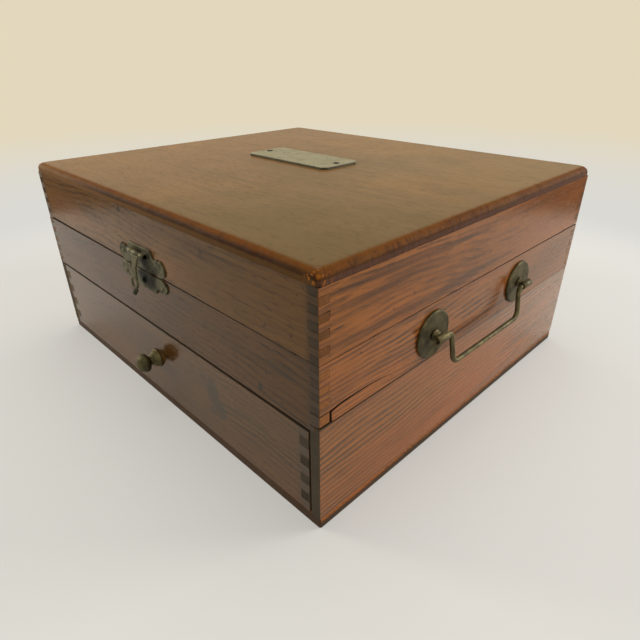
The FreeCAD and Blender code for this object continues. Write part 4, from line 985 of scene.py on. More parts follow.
class CASE_OT_case_boards(bpy.types.Operator):
    """Make the walls with the cracked one, the drawer housing, the base and the inner boards"""

    bl_idname = "case.case_boards"
    bl_label = "Case boards"

    def execute(self, context):
        _, colours = settings()
        low, high = node_box("case_right_wall")
        depth = high[X] - low[X]
        front_low, front_high = node_box("case_front_wall")
        fingers = finger_courses(np.array([front_low[X], 0.0, low[Z]]),
                                 np.array([front_high[X], 0.0, high[Z]]), X, depth, FINGERS, 1)
        floor_low, floor_high = node_box("compartment_floor")
        rail = np.array([[front_low[Z], low[Z], floor_low[X], floor_high[X]]])
        steps = low[Z] + np.array([0.0, 0.25, 0.8, 1.5]) * MM
        ends = front_high[X] - np.array([6.3, 3.2, 1.4, 0.0]) * MM
        sole = np.stack([steps, np.append(steps[1:], fingers[0, 1]), np.full(4, fingers[0, 2]), ends], axis=1)
        fingers = np.concatenate([sole, fingers[1:]])
        second, uneven = len(sole), 0.3 * MM
        fingers[second, 1] -= uneven
        fingers[second + 1, 0] -= uneven
        wood = varnished_wood("case_front_wood", "case_front_wall", X, colours.front_mid, colours.front_dark,
                              23.0, FRONT_LINES, 0.8, end_tone=colours.finger, end_amount=0.85, gloss=0.06,
                              sheen=0.34, gap_shade=0.85, grime=0.65, stains_and_shade=CASE_FRONT_STAINS)
        board_piece("case_front_board", "case_front_wall", Y, np.concatenate([rail, fingers]), wood, "case",
                    "case_wood", 41, outer_high=False)
        wood = varnished_wood("case_back_wood", "case_back_wall", X, colours.lid_front, colours.front_dark,
                              25.0, FRONT_LINES, 0.8, end_tone=colours.side_mid, end_amount=0.85,
                              end_rough=0.1, gloss=0.10, sheen=0.45, gap_shade=0.85, grime=0.65)
        courses = finger_courses(*node_box("case_back_wall"), X, depth, FINGERS, 1)
        board_piece("case_back_board", "case_back_wall", Y, courses, wood, "case", "case_wood", 43)
        # The left wall's cut ends take a pale tone of painted reflection haze.
        wood = varnished_wood("case_left_wood", "case_left_wall", Y, colours.side_mid, colours.side_dark,
                              27.0, end_tone=colours.dusty, end_amount=0.8, gap_shade=0.85, grime=0.12, gloss=0.10,
                              sheen=0.6)
        courses = finger_courses(*node_box("case_left_wall"), Y, depth, FINGERS, 0)
        board_piece("case_left_board", "case_left_wall", X, courses, wood, "case", "case_wood", 45,
                    outer_high=False)
        self.cracked_wall(low, high, depth)
        self.housing()
        self.inner_boards()
        return {"FINISHED"}

    def cracked_wall(self, low, high, depth):
        """Make the right wall with its lower front strip split off along a wandering crack.

        The crack runs back from the top of the second finger and sinks to the wall's lower edge; the
        strip below keeps a gap from it that narrows toward the back, and its own finger has broken off.
        """
        sizes, colours = settings()
        wood = varnished_wood("case_right_wood", "case_right_wall", Y, colours.side_mid, colours.side_dark,
                              33.0, end_amount=0.95, end_rough=0.4, gap_shade=0.9, grime=0.10, gloss=0.10,
                              sheen=0.46, line_strength=0.95, streak=0.6, fade=0.6)
        courses = finger_courses(low, high, Y, depth, FINGERS, 0)
        knots = np.array([[6.3, 7.5], [13.1, 8.4], [22.3, 8.7], [30.3, 8.5], [39.9, 7.7], [48.5, 6.6],
                          [57.0, 5.4], [75.0, 3.0], [90.0, 1.1]]) * MM
        along = np.linspace(knots[0, 0], knots[-1, 0], 42)
        rise = np.interp(along, knots[:, 0], knots[:, 1])
        share = (along - along[0]) / (along[-1] - along[0])
        rise = rise + wander(along, 9, 0.25 * MM, 14 * MM) * np.sin(np.pi * share)
        rise[0] = courses[2, 0] - low[Z]
        crack = np.stack([low[Y] + along, low[Z] + rise], axis=1)
        end = np.array([[crack[-1, 0], low[Z]]])
        back = np.stack([np.repeat(courses[:, 3], 2), courses[:, :2].ravel()], axis=1)
        front = np.stack([np.repeat(courses[2:, 2], 2), courses[2:, :2].ravel()], axis=1)[::-1]
        body = tidy_outline(np.concatenate([end, back, front, crack]))
        self.wall_shell(body, low, depth, "case_right_board", wood, ["case_right_wall"], 47)
        gap = np.interp(along, np.array([6.3, 12.0, 24.0, 40.0, 52.0]) * MM,
                        np.array([1.45, 1.1, 0.75, 0.40, 0.04]) * sizes.crack_gap)
        upper = crack - np.stack([np.zeros_like(gap), gap], axis=1)
        broken_off, hair = 1.3 * MM, 0.06 * MM
        upper[0, 0] += broken_off
        lower = np.array([[upper[0, 0] + 0.5 * MM, low[Z] + 0.6 * MM],
                          [low[Y] + 60.0 * MM, low[Z] + 0.5 * MM], [upper[-1, 0] - hair, low[Z] + hair]])
        upper[-1] += np.array([-hair, -hair / 2.0])
        strip = tidy_outline(np.concatenate([lower, upper[::-1]]))
        self.wall_shell(strip, low, depth, "case_right_splinter", wood, [], 49, 0.12 * MM)

    def wall_shell(self, corners, low, depth, name, wood, nodes, seed, sunk=0.0):
        """Make one part of the right wall from its corners."""
        sizes, _ = settings()
        wear = dict(seed=seed, wave=sizes.edge_wander, wavelength=60 * MM, count=8, depth=0.2 * MM,
                    width=2.0 * MM)
        profile = rounded_profile(depth - sunk, sizes.edge_round * 0.5, sizes.edge_round)
        rings = board_rings(corners, profile, sizes.finger_corner, 4.0 * MM, wear, 3)
        Shell().add(stand(rings, X, (low[X], 0.0, 0.0))).piece(name, wood, "case", "case_wood", nodes)

    def housing(self):
        """Make the rebated housing boards by carrying each end round its stepped section, and the base."""
        _, colours = settings()
        floor_low, floor_high = node_box("compartment_floor")
        for side, sign in (("right", 1.0), ("left", -1.0)):
            node = "housing_" + side + "_side"
            low, high = node_box(node)
            inner = floor_high[X] if sign > 0 else floor_low[X]
            upper = [floor_low[Z], high[Z]] + ([inner, high[X]] if sign > 0 else [low[X], inner])
            courses = np.array([[low[Z], floor_low[Z], low[X], high[X]], upper])
            wood = varnished_wood(node + "_wood", node, Y, colours.side_mid, colours.side_dark, 61.0 + sign,
                                  gap_shade=0.85, gloss=0.10, sheen=0.90, line_strength=0.95, streak=0.6,
                                  even=0.7, worn_amount=0.2)
            board_piece("housing_" + side + "_board", node, Y, courses, wood, "case", "case_wood", 51,
                        corner=0.5 * MM, spacing=1.5 * MM, edge=0.5 * MM)
        low, high = node_box("housing_back")
        courses = np.array([[low[Z], floor_low[Z], low[Y], high[Y]],
                            [floor_low[Z], high[Z], floor_high[Y], high[Y]]])
        wood = varnished_wood("housing_back_wood", "housing_back", X, colours.lid_front, colours.front_dark,
                              39.0, FRONT_LINES, 0.8)
        board_piece("housing_back_board", "housing_back", X, courses, wood, "case", "case_wood", 53,
                    corner=0.3 * MM, spacing=1.5 * MM)
        wood = varnished_wood("base_wood", "base_board", X, colours.side_mid, colours.side_dark, 41.0,
                              end_amount=0.0, worn_amount=0.15, gloss=0.5, foot=4.6 * MM)
        board_piece("base_plank", "base_board", Z, plain_courses("base_board", Z), wood, "case", "case_wood",
                    55, edge=0.9 * MM, corner=1.4 * MM)

    def inner_boards(self):
        """Make the floor panel and the dividers of bare wood."""
        _, colours = settings()
        for node, through, grain in (("compartment_floor", Z, X), ("compartment_long_divider", Y, X),
                                     ("compartment_left_divider", X, Y), ("compartment_right_divider", X, Y)):
            board_piece(node + "_board", node, through, plain_courses(node, through),
                        bare_wood(node, grain, 57.0, colours.bare_dark), "case", "inner_wood", 57,
                        edge=0.5 * MM, corner=0.4 * MM)


class CASE_OT_drawer(bpy.types.Operator):
    """Make the drawer's boards and its turned knob"""

    bl_idname = "case.drawer"
    bl_label = "Drawer"

    def execute(self, context):
        _, colours = settings()
        side_low, side_high = node_box("drawer_right_side")
        side_depth = side_high[X] - side_low[X]
        front_low, front_high = node_box("drawer_front")
        front_depth = front_high[Y] - front_low[Y]
        wood = varnished_wood("drawer_front_wood", "drawer_front", X, colours.front_mid, colours.front_dark,
                              61.0, FRONT_LINES, 0.9, gloss=0.06, sheen=0.7, gap_shade=0.85, grime=0.65,
                              stains_and_shade=DRAWER_STAINS)
        board_piece("drawer_front_board", "drawer_front", Y,
                    finger_courses(front_low, front_high, X, side_depth, DRAWER_FINGERS, 0), wood, "drawer",
                    "drawer_wood", 61, outer_high=False, worn=1.3, sunk=(0.7 * MM, 1.1 * MM))
        for side in ("left", "right"):
            node = "drawer_" + side + "_side"
            low, high = node_box(node)
            courses = finger_courses(low, high, Y, front_depth, DRAWER_FINGERS, 1, far_plain=True)
            # The left side's cut ends take a pale tone of painted reflection haze.
            tone = colours.dim if side == "right" else colours.dusty
            wood = bare_wood(node, Y, 63.0, tone, 0.95)
            board_piece("drawer_" + side + "_board", node, X, courses, wood, "drawer", "inner_wood", 63)
        for node, through in (("drawer_back", Y), ("drawer_bottom", Z)):
            board_piece(node + "_board", node, through, plain_courses(node, through),
                        bare_wood(node, X, 65.0), "drawer", "inner_wood", 65)
        self.knob()
        return {"FINISHED"}

    def knob(self):
        """Turn the knob: flange, domed base, short neck and a bun head, as radius against reach."""
        _, colours = settings()
        low, high = node_box("drawer_knob")
        reach = high[Y] - low[Y]
        shape = np.array([
            [0.05, 0.0], [6.2, 0.0], [6.38, 0.25], [6.3, 0.8], [5.9, 1.05], [5.75, 1.3], [5.6, 1.9],
            [5.2, 2.7], [4.5, 3.7], [3.6, 4.5], [3.15, 5.0], [2.95, 5.6], [3.1, 6.1], [3.9, 6.6],
            [4.9, 7.1], [5.7, 7.8], [6.2, 8.5], [6.38, 9.3], [6.25, 10.2], [5.8, 11.2], [5.0, 12.3],
            [3.9, 13.2], [2.5, 13.9], [1.2, 14.3], [0.05, 14.4]]) * MM
        shape[:, 1] *= reach / shape[-1, 1] * 0.999
        middle = (low + high) / 2.0
        rings = turned(shape, Y, (middle[X], high[Y], middle[Z]), way=-1.0)
        marks = np.repeat(shape[:, 1][:, None], rings.shape[1], axis=1)
        brass = aged_metal("knob_brass", colours.brass, colours.patina, 3.0, 0.65, lathe=True)
        Shell().add(rings, marks=marks).piece("knob", brass, "drawer", "aged_brass", ["drawer_knob"])


class CASE_OT_linings(bpy.types.Operator):
    """Lay the felt in the compartment and the drawer and the pad in the lid"""

    bl_idname = "case.linings"
    bl_label = "Linings"

    def execute(self, context):
        sizes, _ = settings()
        felt = felt_cloth("lining_felt", 5.0)
        for node, body, rest in (("compartment_lining", "case", "compartment_floor"),
                                 ("drawer_lining", "drawer", "drawer_bottom")):
            low, high = node_box(node)
            shell = self.pillow(low, high, sizes.felt_wave, 0.0)
            made = shell.piece(node + "_felt", felt, body, "felt", [node])
        low, high = node_box("lid_lining")
        shell = self.pillow(low, high, 0.2 * MM, 1.2 * MM, True)
        made = shell.piece("lid_lining_pad", felt, "lid", "felt", ["lid_lining"])
        return {"FINISHED"}

    def pillow(self, low, high, wave, crown, downward=False):
        """Make a thin pad as rings of shrinking rectangles, with a face that swells and waves a little.

        A ring at share s of the way in lies at the face's height less the crown times (1 - s) to
        the fourth power, plus a wave of two crossed sines.
        """
        share = np.concatenate([np.linspace(0.0, 0.06, 5), np.linspace(0.1, 0.985, 26)])
        rim = eased_outline(rectangle(low, high), 2.0 * MM, 5.0 * MM, 5)
        middle = ((low + high) / 2.0)[:2]
        flat = middle + (rim[None] - middle) * (1.0 - share)[:, None, None]
        thick = high[Z] - low[Z]
        waves_x, waves_y = 61.0, 53.0
        lift = np.sin(flat[..., 0] * waves_x + 1.0) * np.sin(flat[..., 1] * waves_y + 0.4)
        drop = wave * (0.5 - 0.5 * lift) + crown * ((1.0 - share) ** 4)[:, None]
        soft = np.minimum(1.0, share / 0.02)[:, None]
        face = thick * 0.45 + (thick * 0.55 - drop) * np.sqrt(soft)
        top = np.concatenate([flat, face[..., None]], axis=2)
        under = np.concatenate([flat[:1], np.zeros(flat[:1].shape[:2] + (1,))], axis=2)
        rings = np.concatenate([under, top])
        rings[..., 2] = high[Z] - rings[..., 2] if downward else low[Z] + rings[..., 2]
        return Shell().add(rings)


class CASE_OT_name_plate(bpy.types.Operator):
    """Make the blank name plate and its slotted screws"""

    bl_idname = "case.name_plate"
    bl_label = "Name plate"

    def execute(self, context):
        sizes, colours = settings()
        low, high = node_box("name_plate")
        clip = 3.5 * MM
        corners = np.array([
            [low[X] + clip, low[Y]], [high[X] - clip, low[Y]],
            [high[X], low[Y] + clip], [high[X], high[Y] - clip],
            [high[X] - clip, high[Y]], [low[X] + clip, high[Y]],
            [low[X], high[Y] - clip], [low[X], low[Y] + clip]])
        wear = dict(seed=71, wave=0.08 * MM, wavelength=20 * MM, count=24, depth=0.25 * MM, width=1.0 * MM)
        proud = 0.45 * MM
        profile = rounded_profile(high[Z] - low[Z] - proud, 0.1 * MM, sizes.plate_edge)
        rings = board_rings(corners, profile, 0.8 * MM, 1.5 * MM, wear)
        # The name plate's sides get painted shade.
        metal = aged_metal("plate_metal", colours.plate, colours.patina, 9.0, 0.25, 0.55, 0.50, rim=0.8)
        Shell().add(stand(rings, Z, (0.0, 0.0, low[Z]))).piece(
            "name_plate_blank", metal, "lid", "plate_metal", ["name_plate"])
        screw_low, screw_high = node_box("name_plate_screws")
        steel = aged_metal("plate_screw_steel", shade(colours.steel, 0.75)[:3],
                           shade(colours.patina, 0.7)[:3], 12.0, 0.8, 0.5, 0.6)
        radius = 2.25 * MM
        shell = Shell()
        for centre_x, turn in ((screw_low[X] + radius, 0.5), (screw_high[X] - radius, 1.9)):
            self.slotted_head(shell, (centre_x, (screw_low[Y] + screw_high[Y]) / 2.0, high[Z]), radius, turn)
        shell.piece("name_plate_screw_heads", steel, "lid", "screw_steel", ["name_plate_screws"])
        return {"FINISHED"}

    def slotted_head(self, shell, centre, radius, turn):
        """Add a shank and two half-round lands with a slot between them, turned by an angle."""
        slot_half = radius * 0.16
        shank = np.array([[0.02, -4.4], [1.0, -4.2], [1.1, -1.5], [2.2, -0.35], [0.02, -0.34]]) * MM
        shell.add(turned(shank, Z, centre, 24))
        reach = np.arcsin(slot_half / radius)
        angle = np.linspace(reach, np.pi - reach, 22)
        half = np.stack([np.cos(angle), np.sin(angle)], axis=1) * radius
        profile = rounded_profile(0.32 * MM, 0.01 * MM, 0.14 * MM, 3)
        for flip in (0.0, np.pi):
            way = turn + flip
            spin = np.array([[np.cos(way), np.sin(way)], [-np.sin(way), np.cos(way)]])
            rings = slab(half @ spin, profile)
            shell.add(rings + np.array(centre) + np.array([0.0, 0.0, -0.36 * MM]))


class CASE_OT_latch(bpy.types.Operator):
    """Make the lobed latch plates, their nails, the hasp and its pin"""

    bl_idname = "case.latch"
    bl_label = "Latch"

    def execute(self, context):
        _, colours = settings()
        tones = (colours.latch, shade(colours.patina, 0.75)[:3], 21.0, 0.9, 0.8, 0.45)
        brass = aged_metal("latch_brass", *tones)
        # The latch plates carry the hasp's painted shadow.
        plate_brass = aged_metal("latch_plate_brass", *tones, shadow_spots=LATCH_HASP_SHADOW)
        lid_low, lid_high = node_box("latch_lid_plate")
        keep_low, keep_high = node_box("latch_keeper_plate")
        pin_low, pin_high = node_box("latch_pin")
        middle = (lid_low[X] + lid_high[X]) / 2.0
        half = (lid_high[X] - lid_low[X]) / 2.0
        rise = lid_high[Z] - lid_low[Z]
        edge = np.array([
            [0.0, 0.0], [0.30, 0.0], [0.45, 0.015], [0.50, 0.06], [0.58, 0.02], [0.70, 0.00], [0.84, 0.03],
            [0.96, 0.16], [0.995, 0.36], [0.95, 0.58], [0.86, 0.74], [0.78, 0.70], [0.70, 0.74], [0.62, 0.66],
            [0.54, 0.70], [0.52, 0.84], [0.46, 0.975], [0.36, 0.995], [0.18, 0.985]])
        self.plate("latch_lid_face", edge, middle, half, lid_low, rise, False, plate_brass, "lid",
                   "latch_lid_plate", (pin_low, pin_high))
        self.plate("latch_keeper_face", edge, middle, half, keep_low, keep_high[Z] - keep_low[Z], True,
                   plate_brass, "case", "latch_keeper_plate", None)
        for node, body in (("latch_lid_nails", "lid"), ("latch_keeper_nails", "case")):
            self.nail_heads(node, body, brass)
        self.hasp(brass, (pin_low + pin_high) / 2.0)
        return {"FINISHED"}

    def plate(self, name, edge, middle, half, low, rise, upside_down, brass, body, node, pin):
        """Make one plate: a smooth lobed outline mirrored about its middle, with a soft edge."""
        _, node_high = node_box(node)
        mirrored = edge[1:][::-1] * np.array([-1.0, 1.0])
        loop = smooth_closed(np.concatenate([edge, mirrored]), 220)
        up = 1.0 - loop[:, 1] if upside_down else loop[:, 1]
        outline = np.stack([middle + loop[:, 0] * half, low[Z] + np.clip(up, 0.0, 1.0) * rise], axis=1)
        outline = outline[::-1] if upside_down else outline
        thick = 1.0 * MM
        rings = slab(outline, rounded_profile(thick, 0.05 * MM, 0.35 * MM, 3))
        rings[..., 2] = -rings[..., 2]
        shell = Shell().add(stand(rings, Y, (0.0, node_high[Y], 0.0)))
        face = node_high[Y] - thick
        if pin is None:
            self.staple(shell, middle, face, low[Z] + rise * 0.5)
        else:
            self.knuckles(shell, pin, face)
        shell.piece(name, brass, body, "aged_brass", [node])

    def staple(self, shell, middle, face, level):
        """Add the keeper's raised catch: a low dome turned about its middle."""
        radius, height, root = 2.2 * MM, 1.25 * MM, 0.2 * MM
        angle = np.linspace(0.0, np.pi / 2.0, 9)
        dome = np.stack([radius * np.cos(angle) + NEARLY_ZERO, height * np.sin(angle)], axis=1)
        shape = np.concatenate([[[NEARLY_ZERO, -root], [radius, -root]], dome])
        shell.add(turned(shape, Y, (middle, face, level), 36, -1.0))

    def knuckles(self, shell, pin, face):
        """Add the two rolled knuckles that hold the pin, each a short barrel with eased ends and a root."""
        pin_low, pin_high = pin
        centre = (pin_low + pin_high) / 2.0
        length = 4.5 * MM
        radius = 1.68 * MM
        half = radius * 0.95
        for start in (pin_low[X], pin_high[X] - length):
            shell.add(turned(barrel(NEARLY_ZERO, radius, length), X, (start, centre[Y], centre[Z]), 28))
            root = rectangle((start, centre[Z] - half), (start + length, centre[Z] + half))
            rings = slab(eased_outline(root, 0.3 * MM, 2.0 * MM, 3),
                         rounded_profile(face + 0.3 * MM - centre[Y], 0.05 * MM, 0.05 * MM, 2))
            shell.add(stand(rings, Y, (0.0, centre[Y], 0.0)))

    def nail_heads(self, node, body, brass):
        """Make low domed nail heads with their shanks, turned about Y."""
        low, high = node_box(node)
        radius = 1.5 * MM
        level = (low[Z] + high[Z]) / 2.0
        length = high[Y] - low[Y]
        angle = np.linspace(0.0, np.pi / 2.0, 7)
        dome = np.stack([radius * np.cos(angle) + NEARLY_ZERO, 0.6 * MM * (1.0 - np.sin(angle))],
                        axis=1)[::-1]
        shape = np.concatenate([dome, [[0.8 * MM, 0.62 * MM], [0.75 * MM, length * 0.95],
                                       [NEARLY_ZERO, length]]])
        shell = Shell()
        for centre_x in (low[X] + radius, high[X] - radius):
            shell.add(turned(shape, Y, (centre_x, low[Y], level), 28))
        shell.piece(node + "_domed", brass, body, "aged_brass", [node])

    def hasp(self, brass, pin):
        """Make the hasp: a bowed tongue, a ring round its window, a curled tip and a barrel on the pin.

        The tongue's middle line flares outward by a quarter sine along its drop; its half width swells
        at the top, narrows to a waist and swells again at the window.
        """
        low, high = node_box("latch_hasp")
        drop = 23.0 * MM
        share = np.linspace(0.02, 0.62, 26)
        bow = self.bowed(share)
        width = (4.3 - 1.9 * np.sin(np.pi * np.clip((share - 0.05) / 0.62, 0.0, 1.0)) ** 1.3) * MM
        middle = (low[X] + high[X]) / 2.0
        shell = Shell()
        shell.add(self.strip(middle, pin, share * drop, bow, width, 0.6 * MM))
        loop = np.linspace(0.0, 2.0 * np.pi, 48, endpoint=False)
        ring_rise, ring_half = 4.4 * MM, 3.3 * MM
        ring_drop = drop * 0.74 + ring_rise * np.cos(loop) * 0.9
        ring_side = ring_half * np.sin(loop)
        ring_bow = self.bowed(np.clip(ring_drop / drop, 0.0, 1.0))
        path = np.stack([middle + ring_side, pin[Y] - ring_bow, pin[Z] - ring_drop], axis=1)
        shell.add(self.closed_tube(path, 1.15 * MM, 0.62 * MM), joined=True)
        curl = 0.955
        for centre_z, centre_y, size in ((pin[Z] - drop * curl, pin[Y] - self.bowed(curl), 2.0),
                                         (pin[Z] - drop * 1.02, pin[Y] - 5.4 * MM, 1.7)):
            angle = np.linspace(0.02, np.pi - 0.02, 15)
            ball = lathed(np.stack([np.sin(angle), -np.cos(angle)], axis=1) * size * MM, 26)
            shell.add(stand(ball * np.array([1.15, 0.9, 0.64]), Y, (middle, centre_y, centre_z)))
        shape = barrel(0.84 * MM, 1.69 * MM, high[X] - low[X])
        shell.add(turned(shape, X, (low[X], pin[Y], pin[Z]), 30), joined=True)
        shell.piece("hasp", brass, "latch_hasp", "aged_brass", ["latch_hasp"])

    def bowed(self, share):
        """Give how far the middle of the tongue stands out from the pin at each share of its drop."""
        stand_off, flare = 1.1 * MM, 3.5 * MM
        return stand_off + flare * np.sin(np.pi / 2.0 * np.clip(share, 0.0, 1.0))

    def strip(self, middle, pin, drop, bow, width, half_thick):
        """Carry a rounded flat section down the tongue's middle line."""
        angle = np.linspace(0.0, 2.0 * np.pi, 28, endpoint=False)
        across = np.sign(np.cos(angle)) * np.abs(np.cos(angle)) ** 0.35
        out = np.sign(np.sin(angle)) * np.abs(np.sin(angle)) ** 0.6
        rings = np.empty((len(drop), len(angle), 3))
        rings[..., 0] = middle + width[:, None] * across
        rings[..., 1] = (pin[Y] - bow)[:, None] + half_thick * out
        rings[..., 2] = (pin[Z] - drop)[:, None]
        return rings

    def closed_tube(self, path, across, through):
        """Carry a flattened circle round a closed path."""
        ahead = np.roll(path, -1, axis=0) - np.roll(path, 1, axis=0)
        ahead /= np.linalg.norm(ahead, axis=1)[:, None]
        out = np.cross(ahead, np.array([0.0, 1.0, 0.0]))
        out /= np.linalg.norm(out, axis=1)[:, None]
        up = np.cross(out, ahead)
        angle = np.linspace(0.0, 2.0 * np.pi, 16, endpoint=False)
        ring = (across * np.cos(angle))[None, :, None] * out[:, None]
        return path[:, None] + ring + (through * np.sin(angle))[None, :, None] * up[:, None]


class CASE_OT_handles(bpy.types.Operator):
    """Make the rosettes, posts and bails of both handles"""

    bl_idname = "case.handles"
    bl_label = "Handles"

    def execute(self, context):
        _, colours = settings()
        disc = aged_metal("rosette_brass", colours.brass, colours.patina, 31.0, 0.75, 0.85, 0.46, lathe=True)
        rod = aged_metal("bail_brass", colours.brass, colours.patina, 33.0, 0.7, 0.85, 0.42)
        for side, sign in (("right", 1.0), ("left", -1.0)):
            for end in ("front", "rear"):
                stem = "handle_" + side + "_" + end
                self.rosette(stem, sign, disc)
                self.post(stem, sign, rod)
            self.bail(side, sign, rod)
            dress("handle_" + side + "_nuts", rod)
        return {"FINISHED"}

    def rosette(self, stem, sign, disc):
        """Turn one rosette: a soft rim, a shallow dish with fine rings and a hole for the post."""
        low, high = node_box(stem + "_rosette")
        middle = (low + high) / 2.0
        radius = (high[Y] - low[Y]) / 2.0
        reach = high[X] - low[X]
        dish_radius, hole, grooves_per_mm = 12.9 * MM, 2.25 * MM, 1.35
        inward_run = np.linspace(dish_radius, hole, 40)
        dish = 0.80 + 0.17 * np.cos((inward_run / dish_radius) * np.pi) * -0.4
        grooves = 0.018 * np.sin(inward_run / MM * 2.0 * np.pi * grooves_per_mm)
        face = np.stack([inward_run, reach * (dish + grooves)], axis=1)
        rim = np.array([[hole, 0.0], [radius - 0.2 * MM, 0.0], [radius, 0.12 * reach], [radius, 0.45 * reach],
                        [radius - 0.25 * MM, 0.72 * reach], [radius - 0.7 * MM, 0.9 * reach]])
        shape = np.concatenate([rim, face])
        start = low[X] if sign > 0 else high[X]
        rings = turned(shape, X, (start, middle[Y], middle[Z]), 96, sign)
        marks = np.repeat(shape[:, 0][:, None], rings.shape[1], axis=1)
        shell = Shell().add(rings, joined=True, marks=marks)
        shell.piece(stem + "_disc", disc, "case", "aged_brass", [stem + "_rosette"])

    def post(self, stem, sign, rod):
        """Turn one post about X: shank, flared collar and neck, and a bored eye about Y."""
        low, high = node_box(stem + "_post")
        middle = (low + high) / 2.0
        disc_low, disc_high = node_box(stem + "_rosette")
        face = disc_high[X] if sign > 0 else -disc_low[X]
        inner = low[X] if sign > 0 else -high[X]
        outer = 2.38 * MM
        eye = (high[X] if sign > 0 else -low[X]) - EYE_RADIUS
        shape = np.array([
            [NEARLY_ZERO, inner], [2.1 * MM, inner], [2.2 * MM, inner + 0.3 * MM],
            [2.2 * MM, face - 0.05 * MM], [3.1 * MM, face], [3.2 * MM, face + 0.35 * MM],
            [3.05 * MM, face + 0.8 * MM],
            [2.5 * MM, face + 1.2 * MM], [2.25 * MM, face + 1.7 * MM], [2.2 * MM, eye - 1.5 * MM],
            [NEARLY_ZERO, eye - 1.4 * MM]])
        shell = Shell().add(turned(shape, X, (0.0, middle[Y], middle[Z]), 40, sign))
        half = (high[Y] - low[Y]) / 2.0
        ease = 0.3 * MM
        bore = 1.56 * MM
        loop = np.array([
            [bore, -half + 0.1 * MM], [bore + 0.2 * MM, -half], [outer - ease, -half], [outer, -half + ease],
            [outer * 0.97, 0.0], [outer, half - ease], [outer - ease, half], [bore + 0.2 * MM, half],
            [bore, half - 0.1 * MM], [bore, 0.0]])
        shell.add(turned(loop, Y, (sign * eye, middle[Y], middle[Z]), 40), joined=True)
        shell.piece(stem + "_stud", rod, "case", "aged_brass", [stem + "_post"])

    def bail(self, side, sign, rod):
        """Bend one bail: a rod carried along feet, shoulders, legs, corners and bar, its ends domed.

        The whole line hangs outward from the eyes' axis by the angle of its bar.
        """
        node = "handle_" + side + "_bail"
        low, high = node_box(node)
        post_low, post_high = node_box("handle_" + side + "_front_post")
        radius = 1.5 * MM
        centre_x = post_high[X] - EYE_RADIUS if sign > 0 else post_low[X] + EYE_RADIUS
        top = (post_low[Z] + post_high[Z]) / 2.0
        out = (high[X] if sign > 0 else -low[X]) - radius - sign * centre_x
        hang = np.arctan2(out, top - low[Z] - radius)
        bar = top - np.hypot(out, top - low[Z] - radius)
        shoulder = 4.0 * MM
        corner = 5.0 * MM
        foot = 9.5 * MM
        front = low[Y]
        leg = front + foot + shoulder
        quarter = np.linspace(0.0, np.pi / 2.0, 12)
        slant = 0.5 * MM
        half_run = [
            (np.linspace(front, front + foot, 9), np.full(9, top)),
            (front + foot + shoulder * np.sin(quarter), top - shoulder * (1 - np.cos(quarter))),
            (np.linspace(leg, leg + slant, 10), np.linspace(top - shoulder, bar + corner, 10)),
            (leg + slant + corner * (1 - np.cos(quarter)), bar + corner * (1 - np.sin(quarter)))]
        stretches = [np.stack(stretch, axis=1) for stretch in half_run]
        near = np.concatenate(stretches[:1] + [stretch[1:] for stretch in stretches[1:]])
        middle = (low[Y] + high[Y]) / 2.0
        bar_run = np.linspace(near[-1, 0], 2.0 * middle - near[-1, 0], 40)
        far = near[::-1] * np.array([-1.0, 1.0]) + np.array([2.0 * middle, 0.0])
        line = np.concatenate([near, np.stack([bar_run, np.full(40, bar)], axis=1)[1:-1], far])
        fall = top - line[:, 1]
        path = np.stack([centre_x + sign * np.sin(hang) * fall, line[:, 0], top - np.cos(hang) * fall],
                        axis=1)
        step = np.concatenate([[0.0], np.cumsum(np.linalg.norm(np.diff(path, axis=0), axis=1))])
        thick = radius * 0.985 - np.abs(wander(step, 81, 0.05 * MM, 30 * MM))
        ends = np.minimum(step, step[-1] - step)
        thick = thick * np.sqrt(np.clip(0.25 + ends / (1.2 * MM), 0.0, 1.0))
        shell = Shell().add(swept(path, thick, 20))
        shell.piece("bail_" + side + "_rod", rod, "bail_" + side, "aged_brass", [node])


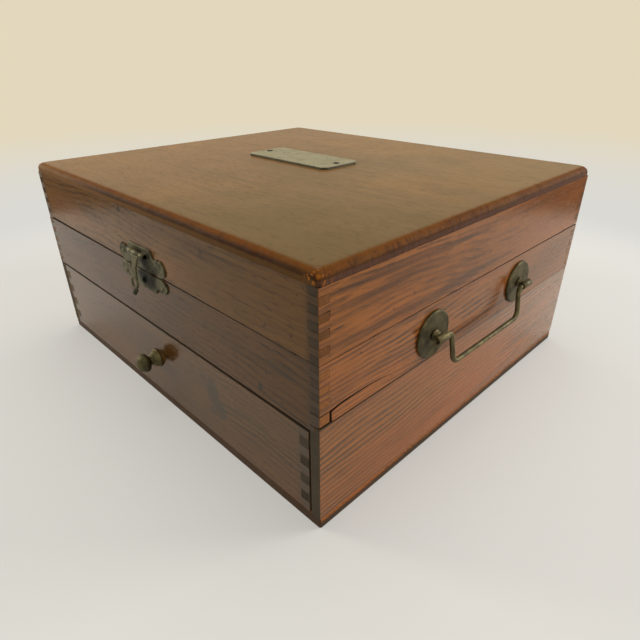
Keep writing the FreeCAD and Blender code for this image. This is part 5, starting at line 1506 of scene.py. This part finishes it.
class CASE_OT_metalwork(bpy.types.Operator):
    """Give the hinges, pins and screws their finishes"""

    bl_idname = "case.metalwork"
    bl_label = "Hinges and screws"

    def execute(self, context):
        _, colours = settings()
        brass = aged_metal("hinge_brass", colours.brass, colours.patina, 41.0, 0.7, 0.85, 0.45)
        steel = aged_metal("screw_steel", colours.steel, colours.patina, 43.0, 0.6, 0.85, 0.45)
        dress("latch_pin", brass)
        for side in ("left", "right"):
            for part in ("case_leaf", "lid_leaf", "pin"):
                dress("hinge_" + side + "_" + part, brass)
        for node in ("hinge_case_screws", "hinge_lid_screws", "knob_screw"):
            dress(node, steel)
        return {"FINISHED"}


class CASE_PT_panel(bpy.types.Panel):
    """Lists the pieces of the case in the sidebar"""

    bl_idname = "CASE_PT_panel"
    bl_label = "Drafting Instrument Case"
    bl_space_type = "VIEW_3D"
    bl_region_type = "UI"
    bl_category = "Case"

    def draw(self, context):
        for operator in OPERATORS:
            self.layout.operator(operator.bl_idname)
        for group in (context.scene.case_sizes, context.scene.case_colours):
            for name in group.__annotations__:
                self.layout.prop(group, name)


OPERATORS = (CASE_OT_stage, CASE_OT_lid_boards, CASE_OT_case_boards, CASE_OT_drawer, CASE_OT_linings,
             CASE_OT_name_plate, CASE_OT_latch, CASE_OT_handles, CASE_OT_metalwork)
CLASSES = (CaseSizes, CaseColours) + OPERATORS + (CASE_PT_panel,)


def register():
    """Register the classes and hang the settings on the scene."""
    for item in CLASSES:
        bpy.utils.register_class(item)
    bpy.types.Scene.case_sizes = PointerProperty(type=CaseSizes)
    bpy.types.Scene.case_colours = PointerProperty(type=CaseColours)


def unregister():
    """Take the settings and the classes away again."""
    del bpy.types.Scene.case_colours
    del bpy.types.Scene.case_sizes
    for item in reversed(CLASSES):
        bpy.utils.unregister_class(item)


def main():
    """Build every piece in order."""
    register()
    for operator in OPERATORS:
        group, name = operator.bl_idname.split(".")
        getattr(getattr(bpy.ops, group), name)()
    bpy.context.view_layer.update()


if __name__ == "__main__":
    main()
